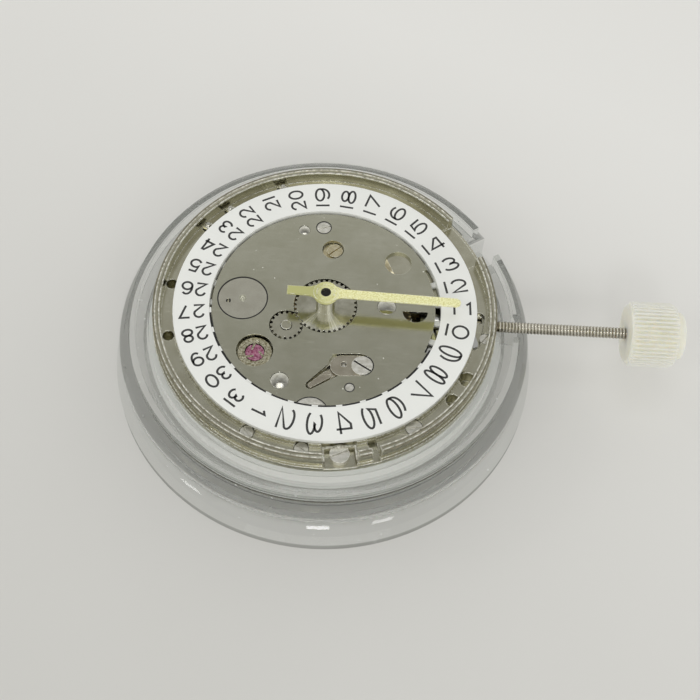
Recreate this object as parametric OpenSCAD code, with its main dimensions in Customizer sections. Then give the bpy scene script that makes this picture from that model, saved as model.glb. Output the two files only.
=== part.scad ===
// Automatic watch movement with a date ring, dial side up in its clear workshop holder.
// Millimetres. The origin is the centre of the holder's underside.
// X runs out along the winding stem and Z points up, away from the floor.

/* [Holder] */
// Radius of the holder's bottom flange
holder_flange_r = 16.4; // [16.2:0.02:19]
// Height of the bottom flange
holder_flange_h = 0.85; // [0.6:0.05:1.1]
// Radius of the lower wall
holder_wall_r = 15.8; // [15.4:0.05:16.1]
// Height of the shoulder where the wall steps in to the collar
holder_shoulder_z = 4.5; // [3.6:0.05:5]
// Radius of the collar
holder_collar_r = 14.9; // [14.8:0.05:15.2]
// Height of the collar, where the movement's flange rests
holder_h = 6.2; // [6:0.05:7.5]
// Height of the narrow part of the collar's bore
holder_land_h = 1.6; // [1.5:0.05:1.7]
// Radius of the room below the collar
holder_room_r = 13.9; // [13.4:0.05:14.2]
// Thickness of the holder's floor
holder_floor_t = 1; // [0.8:0.05:1.3]
// Edge bevel of the wall's shoulder and the room
holder_bevel = 0.38; // [0.2:0.02:0.5]
// Depth of the groove round the collar's top
holder_groove_d = 1.1; // [0.9:0.05:1.2]
// Width of the lip outside that groove
holder_lip_w = 0.5; // [0.4:0.05:0.6]
// Width of the land that carries the movement
holder_land_w = 0.5; // [0.4:0.05:0.7]
// Direction of the finger notch
holder_notch_az = 31.8; // [28:0.2:50]
// Width of the finger notch
holder_notch_w = 2.9; // [2:0.1:3.6]
// Width of the slot for the stem
holder_slot_w = 2.06; // [1.4:0.02:2.6]
// Clearance round the movement in the collar
holder_gap = 0.1; // [0.05:0.01:0.2]

/* [Main plate] */
// Diameter that fits the watch case
casing_d = 25.6; // [25.5:0.02:25.8]
// Diameter of the locating flange
flange_d = 26; // [25.9:0.02:26.4]
// Thickness of the locating flange
flange_t = 0.5; // [0.4:0.02:0.6]
// Height of the date ring's face above the flange
ring_over_flange = 1.1; // [1.05:0.01:1.3]
// Height of the dial seat above the date ring's face
dial_gap = 0.1; // [0.05:0.01:0.2]
// Width of the dial seat
dial_seat_w = 0.45; // [0.3:0.02:0.5]
// Depth of the wheels' recess under the guard plate
motion_depth = 0.8; // [0.78:0.01:1]
// Thickness of the web between the two sides of the plate
web_t = 0.3; // [0.25:0.01:0.4]
// Depth of the train's room, from the web to the bridges
train_depth = 1.5; // [1.48:0.01:1.7]
// Radius of the holes for the dial's feet
dial_foot_r = 0.42; // [0.35:0.01:0.45]
// Distance of the dial's feet from the centre
dial_foot_dist = 11.9; // [11.86:0.01:11.95]

/* [Date work] */
// Outer radius of the date ring
ring_r = 11.4; // [11.2:0.02:11.4]
// Inner radius of the date ring's face
ring_in_r = 8.69; // [8.6:0.01:8.8]
// Thickness of the date ring's face
ring_t = 0.35; // [0.25:0.01:0.38]
// Days on the date ring
ring_days = 31; // [31]
// Length of the date ring's inner teeth
ring_tooth = 0.49; // [0.44:0.01:0.5]
// Radius of the guard plate
guard_r = 8.5; // [8.4:0.01:8.54]
// Thickness of the guard plate
guard_t = 0.25; // [0.2:0.01:0.3]
// Depth of the guard plate's face below the date ring's face
guard_drop = 0.15; // [0.1:0.01:0.18]
// Distance of the date driving wheel from the centre
driver_dist = 6.257; // [6.2:0.001:6.26]
// Direction of the date driving wheel
driver_az = 177.2; // [175:0.1:179]
// Radius of the date driving wheel's visible disc
driver_disc_r = 1.825; // [1.6:0.005:1.85]
// Tooth module of the date wheels
date_module = 0.1; // [0.098:0.001:0.1]
// Teeth on the date driving wheel, twice those on the hour wheel's hub
driver_teeth = 40; // [40]
// Teeth on the intermediate date wheel
date_idler_teeth = 34; // [34]
// Teeth on the hour wheel's hub
hour_hub_teeth = 20; // [20]

/* [Motion work] */
// Tooth module of the cannon pinion and the minute wheel
motion_module = 0.0971; // [0.0968:0.0001:0.0972]
// Teeth on the cannon pinion
cannon_teeth = 10; // [10]
// Teeth on the minute wheel
minute_teeth = 60; // [60]
// Teeth on the minute wheel's pinion
minute_pinion_teeth = 18; // [18]
// Teeth on the hour wheel
hour_teeth = 36; // [36]
// Direction of the minute wheel
minute_az = 213.5; // [213:0.1:214]
// Teeth on the intermediate setting wheel
idler_teeth = 38; // [38]
// Teeth on the setting wheel
setting_teeth = 37; // [37]
// Outer radius of the hour wheel's pipe
hour_pipe_r = 0.75; // [0.7:0.01:0.8]
// Height of the hour wheel's pipe above the date ring
hour_pipe_rise = 1; // [0.8:0.05:1.1]
// Outer radius of the cannon pinion
cannon_r = 0.55; // [0.52:0.01:0.6]
// Bore radius of the cannon pinion
cannon_bore_r = 0.37; // [0.36:0.01:0.4]
// Thickness of gear rims under the guard plate
motion_wheel_t = 0.14; // [0.1:0.01:0.15]

/* [Hand] */
// Length of the hand from the centre to the tip
hand_len = 10; // [7:0.1:11]
// Length of the hand's tail
hand_tail = 2.87; // [1.6:0.01:4]
// Width of the hand
hand_w = 0.73; // [0.5:0.01:0.9]
// Thickness of the hand
hand_t = 0.16; // [0.1:0.01:0.2]
// Radius of the hand's hub
hand_hub_r = 0.925; // [0.75:0.005:1.1]
// Height of the hand's face above the date ring
hand_rise = 1.69; // [1.5:0.01:2.2]
// Direction of the hand
hand_az = -1.9; // [-180:0.1:180]

/* [Going train] */
// Tooth module of the barrel
barrel_module = 0.1417; // [0.141:0.0001:0.142]
// Teeth on the barrel
barrel_teeth = 72; // [72]
// Teeth on the centre pinion
centre_pinion_teeth = 12; // [12]
// Direction of the barrel
barrel_az = 56; // [55:0.1:57]
// Tooth module of the centre wheel
train_module = 0.08; // [0.079:0.0001:0.08]
// Teeth on the centre wheel, and on the seconds wheel
train_teeth = 80; // [80]
// Leaves on the third pinion, and on the seconds pinion
train_leaves = 10; // [10]
// Teeth on the third wheel
third_teeth = 75; // [75]
// Direction of the third wheel
third_az = -25; // [-26:0.1:-24]
// Leaves on the escape pinion
escape_leaves = 8; // [8]
// Direction of the escape wheel
escape_az = 262; // [261:0.1:263]
// Teeth on the escape wheel
escape_teeth = 15; // [15]
// Radius of the escape wheel
escape_r = 1.7; // [1.6:0.01:1.75]
// Thickness of the train's wheels
train_wheel_t = 0.1; // [0.08:0.01:0.12]

/* [Mainspring] */
// Thickness of the mainspring's strip
mainspring_t = 0.1; // [0.08:0.01:0.12]
// Turns of the mainspring
mainspring_turns = 6; // [4:1:6]

/* [Balance] */
// Distance of the balance from the centre
balance_dist = 6.52; // [6.5:0.01:6.55]
// Direction of the balance
balance_az = 220; // [219:0.1:221]
// Outer radius of the balance
balance_r = 4.2; // [3.9:0.01:4.25]
// Radial width of the balance's rim
balance_rim_w = 0.45; // [0.3:0.01:0.6]
// Height of the balance's rim
balance_rim_h = 0.26; // [0.2:0.01:0.28]
// Thickness of the hairspring's strip
hairspring_t = 0.08; // [0.05:0.01:0.1]
// Turns of the hairspring
hairspring_turns = 4.75; // [3.75:0.5:4.75]
// Inner radius of the hairspring
hairspring_in_r = 0.6; // [0.55:0.01:0.65]
// Pitch of the hairspring's turns
hairspring_pitch = 0.5; // [0.5:0.005:0.51]

/* [Winding work] */
// Depth of the stem's axis below the recess floor
stem_depth = 0.7; // [0.68:0.01:0.72]
// Radius of the stem
stem_r = 0.45; // [0.4:0.01:0.46]
// Distance of the stem's outer end from the centre
stem_end = 23.6; // [20:0.1:26]
// Pitch of the stem's thread
thread_pitch = 0.25; // [0.2:0.01:0.35]
// Travel of the stem when it is pulled
stem_pull = 1; // [0.8:0.05:1]
// Radius of the crown
crown_r = 2.48; // [2.2:0.01:2.8]
// Length of the crown
crown_len = 4.25; // [3.6:0.05:5]
// Ridges round the crown
crown_ridges = 44; // [36:1:50]
// Distance of the crown wheel from the centre
crown_wheel_dist = 7.2; // [7.15:0.01:7.25]
// Tooth module of the winding wheels
winding_module = 0.1568; // [0.1565:0.0001:0.157]
// Teeth on the crown wheel
crown_wheel_teeth = 30; // [30]
// Teeth on the winding pinion
winding_pinion_teeth = 13; // [13]
// Teeth on the ratchet wheel
ratchet_teeth = 50; // [50]
// Radius of the sliding pinion
sliding_r = 0.85; // [0.8:0.01:0.86]

/* [Automatic work] */
// Thickness of the bridges
bridge_t = 0.45; // [0.4:0.01:0.5]
// Radius that the bridges stay within
bridge_r = 11.2; // [11.1:0.01:11.25]
// Thickness of the wheels under the bridges
auto_wheel_t = 0.25; // [0.2:0.01:0.26]
// Tooth module of the rotor pinion and the reversing wheels
rotor_module = 0.16; // [0.158:0.001:0.16]
// Teeth on the rotor pinion
rotor_pinion_teeth = 20; // [20]
// Teeth on each reversing wheel
reverser_teeth = 22; // [22]
// Tooth module of the reversing pinions and the reduction wheel
reduction_module = 0.14; // [0.138:0.001:0.14]
// Leaves on each reversing pinion
reverser_leaves = 10; // [10]
// Teeth on the reduction wheel
reduction_teeth = 40; // [40]
// Leaves on the reduction pinion
reduction_leaves = 8; // [8]
// Direction of the first reversing wheel
reverser_az = 133; // [132:0.1:136]
// Thickness of the automatic bridge
auto_bridge_t = 0.25; // [0.2:0.01:0.3]
// Thickness of the rotor's plate
rotor_t = 0.2; // [0.15:0.01:0.25]
// Outer radius of the rotor's weight
rotor_r = 12.5; // [12.3:0.01:12.6]
// Radial width of the rotor's weight
rotor_weight_w = 1.1; // [0.8:0.01:1.15]
// Height of the rotor's weight
rotor_weight_h = 1.4; // [1:0.01:1.45]
// Radius of the ball bearing
bearing_r = 2; // [1.9:0.01:2.1]

/* [Hidden] */
$fn = 64;

// Running clearances: along a shaft, round a shaft, and round a wheel in its recess
end_gap = 0.06;
bore_gap = 0.05;
room_gap = 0.15;
// Gap left where a real mesh is intermittent, such as a finger, a jumper or a click
idle_gap = 0.06;
// Overshoot of a cut past the face that it opens
cut = 0.05;

// Heights, from the holder's collar up to the dial and down to the rotor
seat_z = holder_h;
flange_top_z = seat_z + flange_t;
ring_z = flange_top_z + ring_over_flange;
dial_z = ring_z + dial_gap;
guard_top_z = ring_z - guard_drop;
guard_z = guard_top_z - guard_t;
floor_z = guard_z - motion_depth;
web_z = floor_z - web_t;
seat_low_z = web_z - train_depth;
bridge_z = seat_low_z - bridge_t;
layer_a_z = bridge_z - end_gap - auto_wheel_t;
layer_b_z = layer_a_z - end_gap - auto_wheel_t;
auto_bridge_z = layer_b_z - end_gap - auto_bridge_t;
rotor_z = auto_bridge_z - 2 * end_gap - rotor_t;
stem_z = floor_z - stem_depth;
teeth_z = guard_z - 0.3;
teeth_t = 0.22;
date_gear_z = floor_z + 0.26;
minute_gear_z = floor_z + end_gap;
hour_gear_z = guard_z - 0.03;
hour_gear_t = 0.22;

// Heights of the train's wheels, counted up from the bridges
seconds_wheel_z = seat_low_z + end_gap;
third_wheel_z = seconds_wheel_z + train_wheel_t + 2 * end_gap;
centre_wheel_z = third_wheel_z + train_wheel_t + 1.5 * end_gap;
barrel_z = centre_wheel_z + train_wheel_t + 1.5 * end_gap;
balance_z = centre_wheel_z + train_wheel_t + 1.5 * end_gap;
pallet_bridge_t = 0.2;
pallet_bridge_z = balance_z + balance_rim_h + end_gap;
escape_z = pallet_bridge_z + pallet_bridge_t + 2 * end_gap;
escape_t = 0.12;
hairspring_z = seconds_wheel_z + 0.26;
hairspring_h = 0.14;

// A point at a distance and a direction
function polar(r, a) = [r * cos(a), r * sin(a)];
// The direction from one point to another
function heading(a, b) = atan2(b.y - a.y, b.x - a.x);
// The distance of two meshed wheels
function mesh_dist(m, za, zb) = m * (za + zb) / 2;
// Where a tooth of wheel b points, so that its gaps take the teeth of wheel a at the heading d
function mesh_phase(phase_a, za, zb, d) = d + 180 - (phase_a - d) * za / zb + 180 / zb;
// The corner of a triangle on two known points, left of the way from a to b
function corner(a, ra, b, rb) =
    let (d = norm(b - a), u = (b - a) / d, x = (d * d + ra * ra - rb * rb) / (2 * d))
    a + u * x + [-u.y, u.x] * sqrt(ra * ra - x * x);

// Places of the arbors
casing_r = casing_d / 2;
flange_r = flange_d / 2;
centre = [0, 0];
minute_dist = mesh_dist(motion_module, cannon_teeth, minute_teeth);
hour_module = 2 * minute_dist / (minute_pinion_teeth + hour_teeth);
minute_at = polar(minute_dist, minute_az);
driver_at = polar(driver_dist, driver_az);
date_idler_at = corner(driver_at, mesh_dist(date_module, driver_teeth, date_idler_teeth),
    centre, mesh_dist(date_module, date_idler_teeth, hour_hub_teeth));
setting_at = [4.6, 0.16];
idler_at = corner(setting_at, mesh_dist(motion_module, idler_teeth, setting_teeth),
    minute_at, mesh_dist(motion_module, minute_teeth, idler_teeth));
barrel_dist = mesh_dist(barrel_module, barrel_teeth, centre_pinion_teeth);
barrel_at = polar(barrel_dist, barrel_az);
third_dist = mesh_dist(train_module, train_teeth, train_leaves);
third_module = 2 * third_dist / (third_teeth + train_leaves);
third_at = polar(third_dist, third_az);
escape_dist = mesh_dist(train_module, train_teeth, escape_leaves);
escape_at = polar(escape_dist, escape_az);
balance_at = polar(balance_dist, balance_az);
pallet_at = escape_at + (balance_at - escape_at) * 0.49;
pallet_heading = heading(escape_at, balance_at);
crown_wheel_at = [crown_wheel_dist, 0];
winding_x = crown_wheel_dist + crown_wheel_teeth * winding_module / 2;
reverser_a_at = polar(mesh_dist(rotor_module, rotor_pinion_teeth, reverser_teeth), reverser_az);
reduction_pinion_r = (reduction_leaves / 2 + 0.9) * winding_module;
ratchet_tip_r = (ratchet_teeth / 2 + 0.9) * winding_module;
reduction_at = corner(reverser_a_at, mesh_dist(reduction_module, reverser_leaves, reduction_teeth),
    barrel_at, ratchet_tip_r + reduction_pinion_r + idle_gap);
reverser_b_at = corner(reverser_a_at, mesh_dist(rotor_module, reverser_teeth, reverser_teeth),
    reduction_at, mesh_dist(reduction_module, reverser_leaves, reduction_teeth));

// Directions of one tooth on each wheel at rest
minute_phase = mesh_phase(0, cannon_teeth, minute_teeth, minute_az);
hour_phase = mesh_phase(0, minute_pinion_teeth, hour_teeth, minute_az + 180);
date_idler_phase = mesh_phase(0, hour_hub_teeth, date_idler_teeth, heading(centre, date_idler_at));
driver_phase = mesh_phase(date_idler_phase, date_idler_teeth, driver_teeth,
    heading(date_idler_at, driver_at));
idler_phase = mesh_phase(minute_phase, minute_teeth, idler_teeth, heading(minute_at, idler_at));
setting_phase = mesh_phase(idler_phase, idler_teeth, setting_teeth, heading(idler_at, setting_at));
centre_pinion_phase = mesh_phase(0, barrel_teeth, centre_pinion_teeth, barrel_az + 180);
third_pinion_phase = mesh_phase(0, train_teeth, train_leaves, third_az);
seconds_pinion_phase = mesh_phase(0, third_teeth, train_leaves, third_az + 180);
escape_pinion_phase = mesh_phase(0, train_teeth, escape_leaves, escape_az);
crown_contrate_phase = 180 / crown_wheel_teeth;
ratchet_phase = mesh_phase(0, crown_wheel_teeth, ratchet_teeth, heading(crown_wheel_at, barrel_at));
reverser_a_phase = mesh_phase(0, rotor_pinion_teeth, reverser_teeth, reverser_az);
reverser_b_phase = mesh_phase(reverser_a_phase, reverser_teeth, reverser_teeth,
    heading(reverser_a_at, reverser_b_at));
reduction_phase = mesh_phase(0, reverser_leaves, reduction_teeth, heading(reverser_a_at, reduction_at));
reverser_leaf_phase = mesh_phase(reduction_phase, reduction_teeth, reverser_leaves,
    heading(reduction_at, reverser_b_at));

// Outline of a spur gear: each tooth is a trapezium with backlash at its sides
tooth_tip = 0.9;
tooth_root = 1.25;
tooth_shape = [[-0.3, -tooth_root], [-0.14, tooth_tip], [0.14, tooth_tip], [0.3, -tooth_root]];
face_tip = 0.6;
face_shape = [[-0.28, -0.8], [-0.19, face_tip], [0.19, face_tip], [0.28, -0.8]];
function gear_points(teeth, m, phase, shape = tooth_shape) = [
    for (i = [0 : teeth - 1], p = shape)
        polar((teeth / 2 + p[1]) * m, phase + (i + p[0]) * 360 / teeth)
];

// A disc at a height over a point
module disc(r, h, z, at = [0, 0]) {
    translate([at.x, at.y, z]) cylinder(r = r, h = h);
}

// A disc with a hole
module ring(r, bore, h, z, at = [0, 0]) {
    difference() {
        disc(r, h, z, at);
        disc(bore, h + 2 * cut, z - cut, at);
    }
}

// A flat bar with round ends of two radii, as an outline
module link_outline(a, ra, b, rb) {
    u = (b - a) / norm(b - a);
    n = [-u.y, u.x];
    translate(a) circle(r = ra);
    translate(b) circle(r = rb);
    polygon([a + n * ra, b + n * rb, b - n * rb, a - n * ra]);
}

// The same bar as a solid
module link_bar(a, ra, b, rb, h, z) {
    translate([0, 0, z]) linear_extrude(h) link_outline(a, ra, b, rb);
}

// A solid wheel with the shallow teeth that show in the guard plate
module face_gear(teeth, at, phase) {
    translate([at.x, at.y, hour_gear_z]) linear_extrude(hour_gear_t)
        polygon(gear_points(teeth, hour_module, phase, face_shape));
}

// A toothed wheel with a bore and spokes; no spokes leave it solid
module gear(teeth, m, h, z, at, phase = 0, bore = 0, hub = 0, spokes = 0) {
    root_r = (teeth / 2 - tooth_root) * m;
    rim_in = root_r - 3 * m;
    translate([at.x, at.y, z]) difference() {
        linear_extrude(h) polygon(gear_points(teeth, m, phase));
        if (bore > 0) translate([0, 0, -cut]) cylinder(r = bore, h = h + 2 * cut);
        if (spokes > 0) translate([0, 0, -cut]) difference() {
            cylinder(r = rim_in, h = h + 2 * cut);
            cylinder(r = hub, h = h + 2 * cut);
            for (i = [0 : spokes - 1]) rotate(i * 360 / spokes)
                translate([0, -1.5 * m, 0]) cube([rim_in + cut, 3 * m, h + 2 * cut]);
        }
    }
}

// A screw with a slotted head; the head's face is at z
module screw(at, z, head_r, head_h, shank_r, shank_h, turn = 30) {
    translate([at.x, at.y, z - head_h]) difference() {
        union() {
            cylinder(r = head_r, h = head_h);
            translate([0, 0, -shank_h]) cylinder(r = shank_r, h = shank_h + cut);
        }
        rotate(turn) translate([-head_r - cut, -head_r * 0.11, head_h * 0.6])
            cube([2 * (head_r + cut), head_r * 0.22, head_h]);
    }
}

// A screw from below, whose head's face is at z
module low_screw(at, z, head_r, head_h, shank_r, shank_h, turn = 30) {
    translate([at.x, at.y, z]) mirror([0, 0, 1]) screw([0, 0], 0, head_r, head_h, shank_r, shank_h, turn);
}

// A spiral strip of even pitch, as an outline
function spiral(r0, pitch, turns, side) = [
    for (i = [0 : round(turns * 24)]) let (a = i * 15) polar(r0 + pitch * a / 360 + side, a)
];
function reversed(list) = [for (i = [len(list) - 1 : -1 : 0]) list[i]];
module spiral_strip(r0, pitch, turns, t, h, z, at, turn) {
    translate([at.x, at.y, z]) rotate(turn) linear_extrude(h)
        polygon(concat(spiral(r0, pitch, turns, -t / 2), reversed(spiral(r0, pitch, turns, t / 2))));
}

// Holder: a flange, a wall that steps in to a collar, and a closed floor
collar_bore_r = casing_r + holder_gap;
lip_in_r = holder_collar_r - holder_lip_w;
lip_floor_z = holder_h - holder_groove_d;
notch_floor_z = holder_flange_h + 0.3;
slot_floor_z = stem_z - holder_slot_w / 2;
module movement_holder() {
    color([0.93, 0.95, 0.94, 0.35]) difference() {
        rotate_extrude($fn = 128) polygon([
            [0, 0], [holder_flange_r, 0], [holder_flange_r, holder_flange_h],
            [holder_wall_r, holder_flange_h], [holder_wall_r, holder_shoulder_z - holder_bevel],
            [holder_wall_r - holder_bevel, holder_shoulder_z], [holder_collar_r, holder_shoulder_z],
            [holder_collar_r, holder_h], [lip_in_r, holder_h], [lip_in_r, lip_floor_z],
            [collar_bore_r + holder_land_w, lip_floor_z], [collar_bore_r + holder_land_w, holder_h],
            [collar_bore_r, holder_h], [collar_bore_r, holder_h - holder_land_h],
            [holder_room_r, holder_h - holder_land_h - holder_bevel],
            [holder_room_r, holder_floor_t], [0, holder_floor_t]
        ]);
        holder_notch();
        holder_stem_slot();
    }
}

// The finger notch has a round bottom and opens upwards
module holder_notch() {
    reach = holder_wall_r - holder_room_r + 3;
    rotate(holder_notch_az) translate([holder_room_r - 2, 0, 0]) {
        translate([0, 0, notch_floor_z + holder_notch_w / 2]) rotate([0, 90, 0])
            cylinder(d = holder_notch_w, h = reach);
        translate([0, -holder_notch_w / 2, notch_floor_z + holder_notch_w / 2])
            cube([reach, holder_notch_w, holder_h]);
    }
}

// The stem's slot runs out through the collar
module holder_stem_slot() {
    translate([collar_bore_r - 1, -holder_slot_w / 2, slot_floor_z])
        cube([holder_wall_r - collar_bore_r + 2, holder_slot_w, holder_h]);
}

// Main plate: features of the rim as [direction, distance, radius]
groove_r = casing_r - dial_seat_w;
groove_z = ring_z - 0.8;
channel_r = ring_r + 0.06;
teeth_tip_r = ring_in_r - ring_tooth;
teeth_room_r = 9.3;
island_r = teeth_tip_r - 0.1;
dial_feet_az = [172.1, -165.6];
rim_holes = [[-26.8, 12.0, 0.6], [-36.8, 12.0, 0.5]];
cam_screw_az = -82.3;
cam_screw_dist = 12.0;
cam_screw_r = 0.72;
rim_screws = [[-54.4, 11.75, 0.6], [-8.6, 12.2, 0.42], [-115.6, 11.72, 0.5], [-95.5, 11.72, 0.5]];
rim_screw_h = 0.25;
cam_screw_h = 0.43;
barrel_room_r = (barrel_teeth / 2 + tooth_tip) * barrel_module + room_gap;
train_room_r = (train_teeth / 2 + tooth_tip) * train_module + room_gap;
third_room_r = (third_teeth / 2 + tooth_tip) * third_module + room_gap;
crown_room_r = (crown_wheel_teeth / 2 + tooth_tip) * winding_module + room_gap;
escape_room_r = escape_r + room_gap;
balance_room_r = balance_r + room_gap;
slot_half_w = 1.3;
slot_in_x = 6.5;
slot_out_x = winding_x + 0.5;
eccentric_at = [0.333, 5.15];
eccentric_h = 0.5;
corrector_at = [5.369, 4.183];
corrector_r = 1.05;
stud_r = 0.3;
minute_stud_r = 0.4;
driver_bore_r = 0.25;
shock_z = minute_gear_z + motion_wheel_t + end_gap - 0.01;

// Setting lever and yoke: pivots, ends and how far they turn when the stem is pulled
lever_floor_z = floor_z + 0.03;
lever_z = floor_z + end_gap;
lever_t = 0.18;
groove_x = 10.6;
lever_at = [groove_x + stem_pull / 2, -2.25];
lever_pin_at = [groove_x, 0];
lever_tail_at = lever_at + [-1.6, -0.1];
lever_turn = -2 * asin(stem_pull / 2 / norm(lever_at - lever_pin_at));
yoke_at = [8.1, -3.3];
yoke_end_at = [7.95, -0.75];
yoke_tail_at = [6.5, -5.1];
yoke_turn = 13.5;
spring_tip_at = [6.9, -4.7];
spring_plate_t = 0.12;

// The places that a lever passes through as it turns about its pivot
module swept(at, turn) {
    for (i = [0 : 3]) translate(at) rotate(turn * i / 3) translate(-at) children();
}

module main_plate() {
    color([0.72, 0.71, 0.66]) difference() {
        union() {
            disc(casing_r, dial_z - seat_low_z, seat_low_z);
            disc(flange_r, flange_t, seat_z);
        }
        plate_dial_side();
        plate_train_side();
        plate_winding_side();
        plate_rim_side();
    }
    color([0.72, 0.71, 0.66]) {
        disc(stud_r, 0.42, floor_z, idler_at);
        disc(stud_r, guard_z - floor_z, floor_z, setting_at);
        disc(minute_stud_r, guard_top_z + 0.02 - floor_z, floor_z, minute_at);
        disc(driver_bore_r - bore_gap, guard_z - floor_z, floor_z, driver_at);
    }
}

// Channel of the date ring, groove behind the dial seat and recesses of the motion work
module plate_dial_side() {
    high = dial_z - floor_z + 1;
    difference() {
        disc(groove_r, high, groove_z);
        disc(channel_r, high, groove_z - cut);
    }
    disc(channel_r, high, guard_z);
    difference() {
        disc(teeth_room_r, high, teeth_z - 0.06);
        disc(island_r, high, teeth_z - 0.1);
    }
    disc((hour_teeth / 2 + 1) * hour_module + room_gap, high, floor_z);
    disc((minute_teeth / 2 + 1) * motion_module + room_gap, high, floor_z, minute_at);
    disc((setting_teeth / 2 + 1) * motion_module + room_gap, high, floor_z, setting_at);
    disc((idler_teeth / 2 + 1) * motion_module + room_gap, high, floor_z, idler_at);
    disc((date_idler_teeth / 2 + 1) * date_module + room_gap, high, date_gear_z - end_gap, date_idler_at);
    disc((driver_teeth / 2 + 1) * date_module + room_gap, high, date_gear_z - end_gap, driver_at);
    disc(1.45, high, shock_z, balance_at);
    translate([0, 0, teeth_z - 0.06]) linear_extrude(high) jumper_room();
    disc(eccentric_r + room_gap, high, guard_top_z - 0.06 - eccentric_h, eccentric_at);
    disc(tube_r + bore_gap, 2, web_z - 1, centre);
    disc(0.3, shock_z - web_z + 1 + cut, web_z - 1, balance_at);
}

// Rooms of the barrel, the train, the escapement and the balance
module plate_train_side() {
    low = seat_low_z - 1;
    disc(barrel_room_r, web_z - low, low, barrel_at);
    disc(train_room_r, centre_wheel_z + train_wheel_t + end_gap - low, low, centre);
    disc(1.15, web_z - low, low, centre);
    disc(third_room_r, third_wheel_z + train_wheel_t + end_gap - low, low, third_at);
    disc(0.65, web_z - low, low, third_at);
    disc(escape_room_r, web_z - low, low, escape_at);
    disc(balance_room_r, web_z - low, low, balance_at);
    disc(crown_room_r, stem_z - 0.85 - low, low, crown_wheel_at);
    disc(0.5 + bore_gap, 0.3, web_z - cut, barrel_at);
    for (at = [third_at, escape_at, pallet_at]) disc(jewel_r, web_t + 2 * cut, web_z - cut, at);
}

// Slot of the stem's pinions, bore of the stem, and rooms of the setting lever and the yoke
module plate_winding_side() {
    high = dial_z - floor_z + 1;
    translate([slot_in_x, -slot_half_w, seat_low_z - 1])
        cube([slot_out_x - slot_in_x, 2 * slot_half_w, dial_z]);
    translate([slot_out_x - cut, 0, stem_z]) rotate([0, 90, 0]) cylinder(r = stem_r + bore_gap, h = 5);
    translate([slot_in_x - 0.5, 0, stem_z]) rotate([0, 90, 0]) cylinder(r = 0.27, h = 0.6);
    translate([0, 0, lever_floor_z]) linear_extrude(high) {
        swept(lever_at, lever_turn) {
            link_outline(lever_at, 0.58, lever_pin_at, 0.46);
            link_outline(lever_at, 0.58, lever_tail_at, 0.42);
        }
        swept(yoke_at, yoke_turn) {
            link_outline(yoke_at, 0.65, yoke_end_at, 0.3);
            link_outline(yoke_at, 0.65, yoke_tail_at, 0.3);
        }
        link_outline(lever_at, 0.58, yoke_at, 0.65);
        link_outline(yoke_at, 0.65, spring_tip_at, 0.35);
    }
    translate([groove_x - 0.3, -0.3, stem_z]) cube([stem_pull + 0.6, 0.6, high]);
}

// Pockets, holes and the low stretch of the rim
module plate_rim_side() {
    high = dial_z - floor_z + 1;
    for (a = dial_feet_az) disc(dial_foot_r, high, groove_z - 1.8, polar(dial_foot_dist, a));
    for (h = rim_holes) disc(h[2], high, groove_z - 1.2, polar(h[1], h[0]));
    for (s = rim_screws) disc(s[2] + 0.05, high, groove_z - rim_screw_h, polar(s[1], s[0]));
    rotate(cam_screw_az) translate([channel_r - 0.25, -1.25, groove_z - 0.02 - cam_screw_h])
        cube([3, 2.5, high]);
    rotate(-70.5) translate([channel_r - 0.3, -0.3, groove_z - 0.4]) cube([3, 0.6, high]);
    rotate(32.4) translate([channel_r - 0.2, -2, groove_z - 0.2]) cube([3, 4, high]);
    for (a = [109.4, 132.1, 143.4]) rotate(a) translate([channel_r - 0.2, -0.45, groove_z - 0.3])
        cube([0.9, 0.9, high]);
}

// Guard plate over the date work, cut back where the ring's teeth show
eccentric_r = 0.78;
date_screw_at = [2.934, -5.019];
date_screw_r = 0.78;
jumper_at = [1.592, -4.932];
jumper_tip_at = [-0.75, -6.83];
jumper_elbow_at = [0.38, -5.92];
guard_pins = [[-2.998, -6.616, 0.66], [4.597, 0.163, 0.68], [-1.979, 6.853, 0.42], [2.08, -6.901, 0.32]];
guard_screw = [-0.487, 7.19, 0.55];
guard_fit = 0.04;
lens_at = [-0.65, -9.15];
lens_r = 1.28;
guard_screw_top = 0.03;
keeper_a = [1.35, -5.05];
keeper_b = [2.75, -4.98];
keeper_r = 0.93;
keeper_t = 0.12;
module guard_slot_outline() {
    link_outline([-0.77, -6.85], 0.34, [0.9, -5.45], 0.62);
    link_outline(keeper_a, keeper_r, keeper_b, keeper_r);
    translate(date_screw_at) circle(r = date_screw_r + end_gap);
    polygon([[0.72, -4.19], [1.35, -4.12], [1.35, -5], [0.5, -5.1]]);
}

// The date idler runs on a pin that hangs from the guard plate, clear of the minute wheel below
idler_pin_r = 0.2;
module date_guard_plate() {
    color([0.62, 0.61, 0.56]) disc(idler_pin_r, guard_z + 0.1 - date_gear_z, date_gear_z, date_idler_at);
    color([0.62, 0.61, 0.56]) translate([0, 0, guard_z]) linear_extrude(guard_t) difference() {
        circle(r = guard_r);
        circle(r = (hour_teeth / 2 + face_tip) * hour_module + end_gap);
        translate(minute_at) circle(r = (minute_pinion_teeth / 2 + face_tip) * hour_module + end_gap);
        translate(driver_at) circle(r = driver_disc_r + 0.07);
        translate(balance_at) circle(r = 1.37);
        translate(eccentric_at) circle(r = eccentric_r + 0.06);
        translate(corrector_at) circle(r = corrector_r);
        guard_window();
        guard_slot_outline();
        for (p = guard_pins) translate([p.x, p.y]) circle(r = p[2] + guard_fit);
        translate([guard_screw.x, guard_screw.y]) circle(r = guard_screw[2] + guard_fit);
        translate(lens_at) circle(r = lens_r + guard_fit);
        difference() {
            polygon([[0, 0], polar(2 * guard_r, -26), [3 * guard_r, 0], polar(2 * guard_r, 26)]);
            circle(r = teeth_tip_r + 0.06);
        }
    }
}

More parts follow.
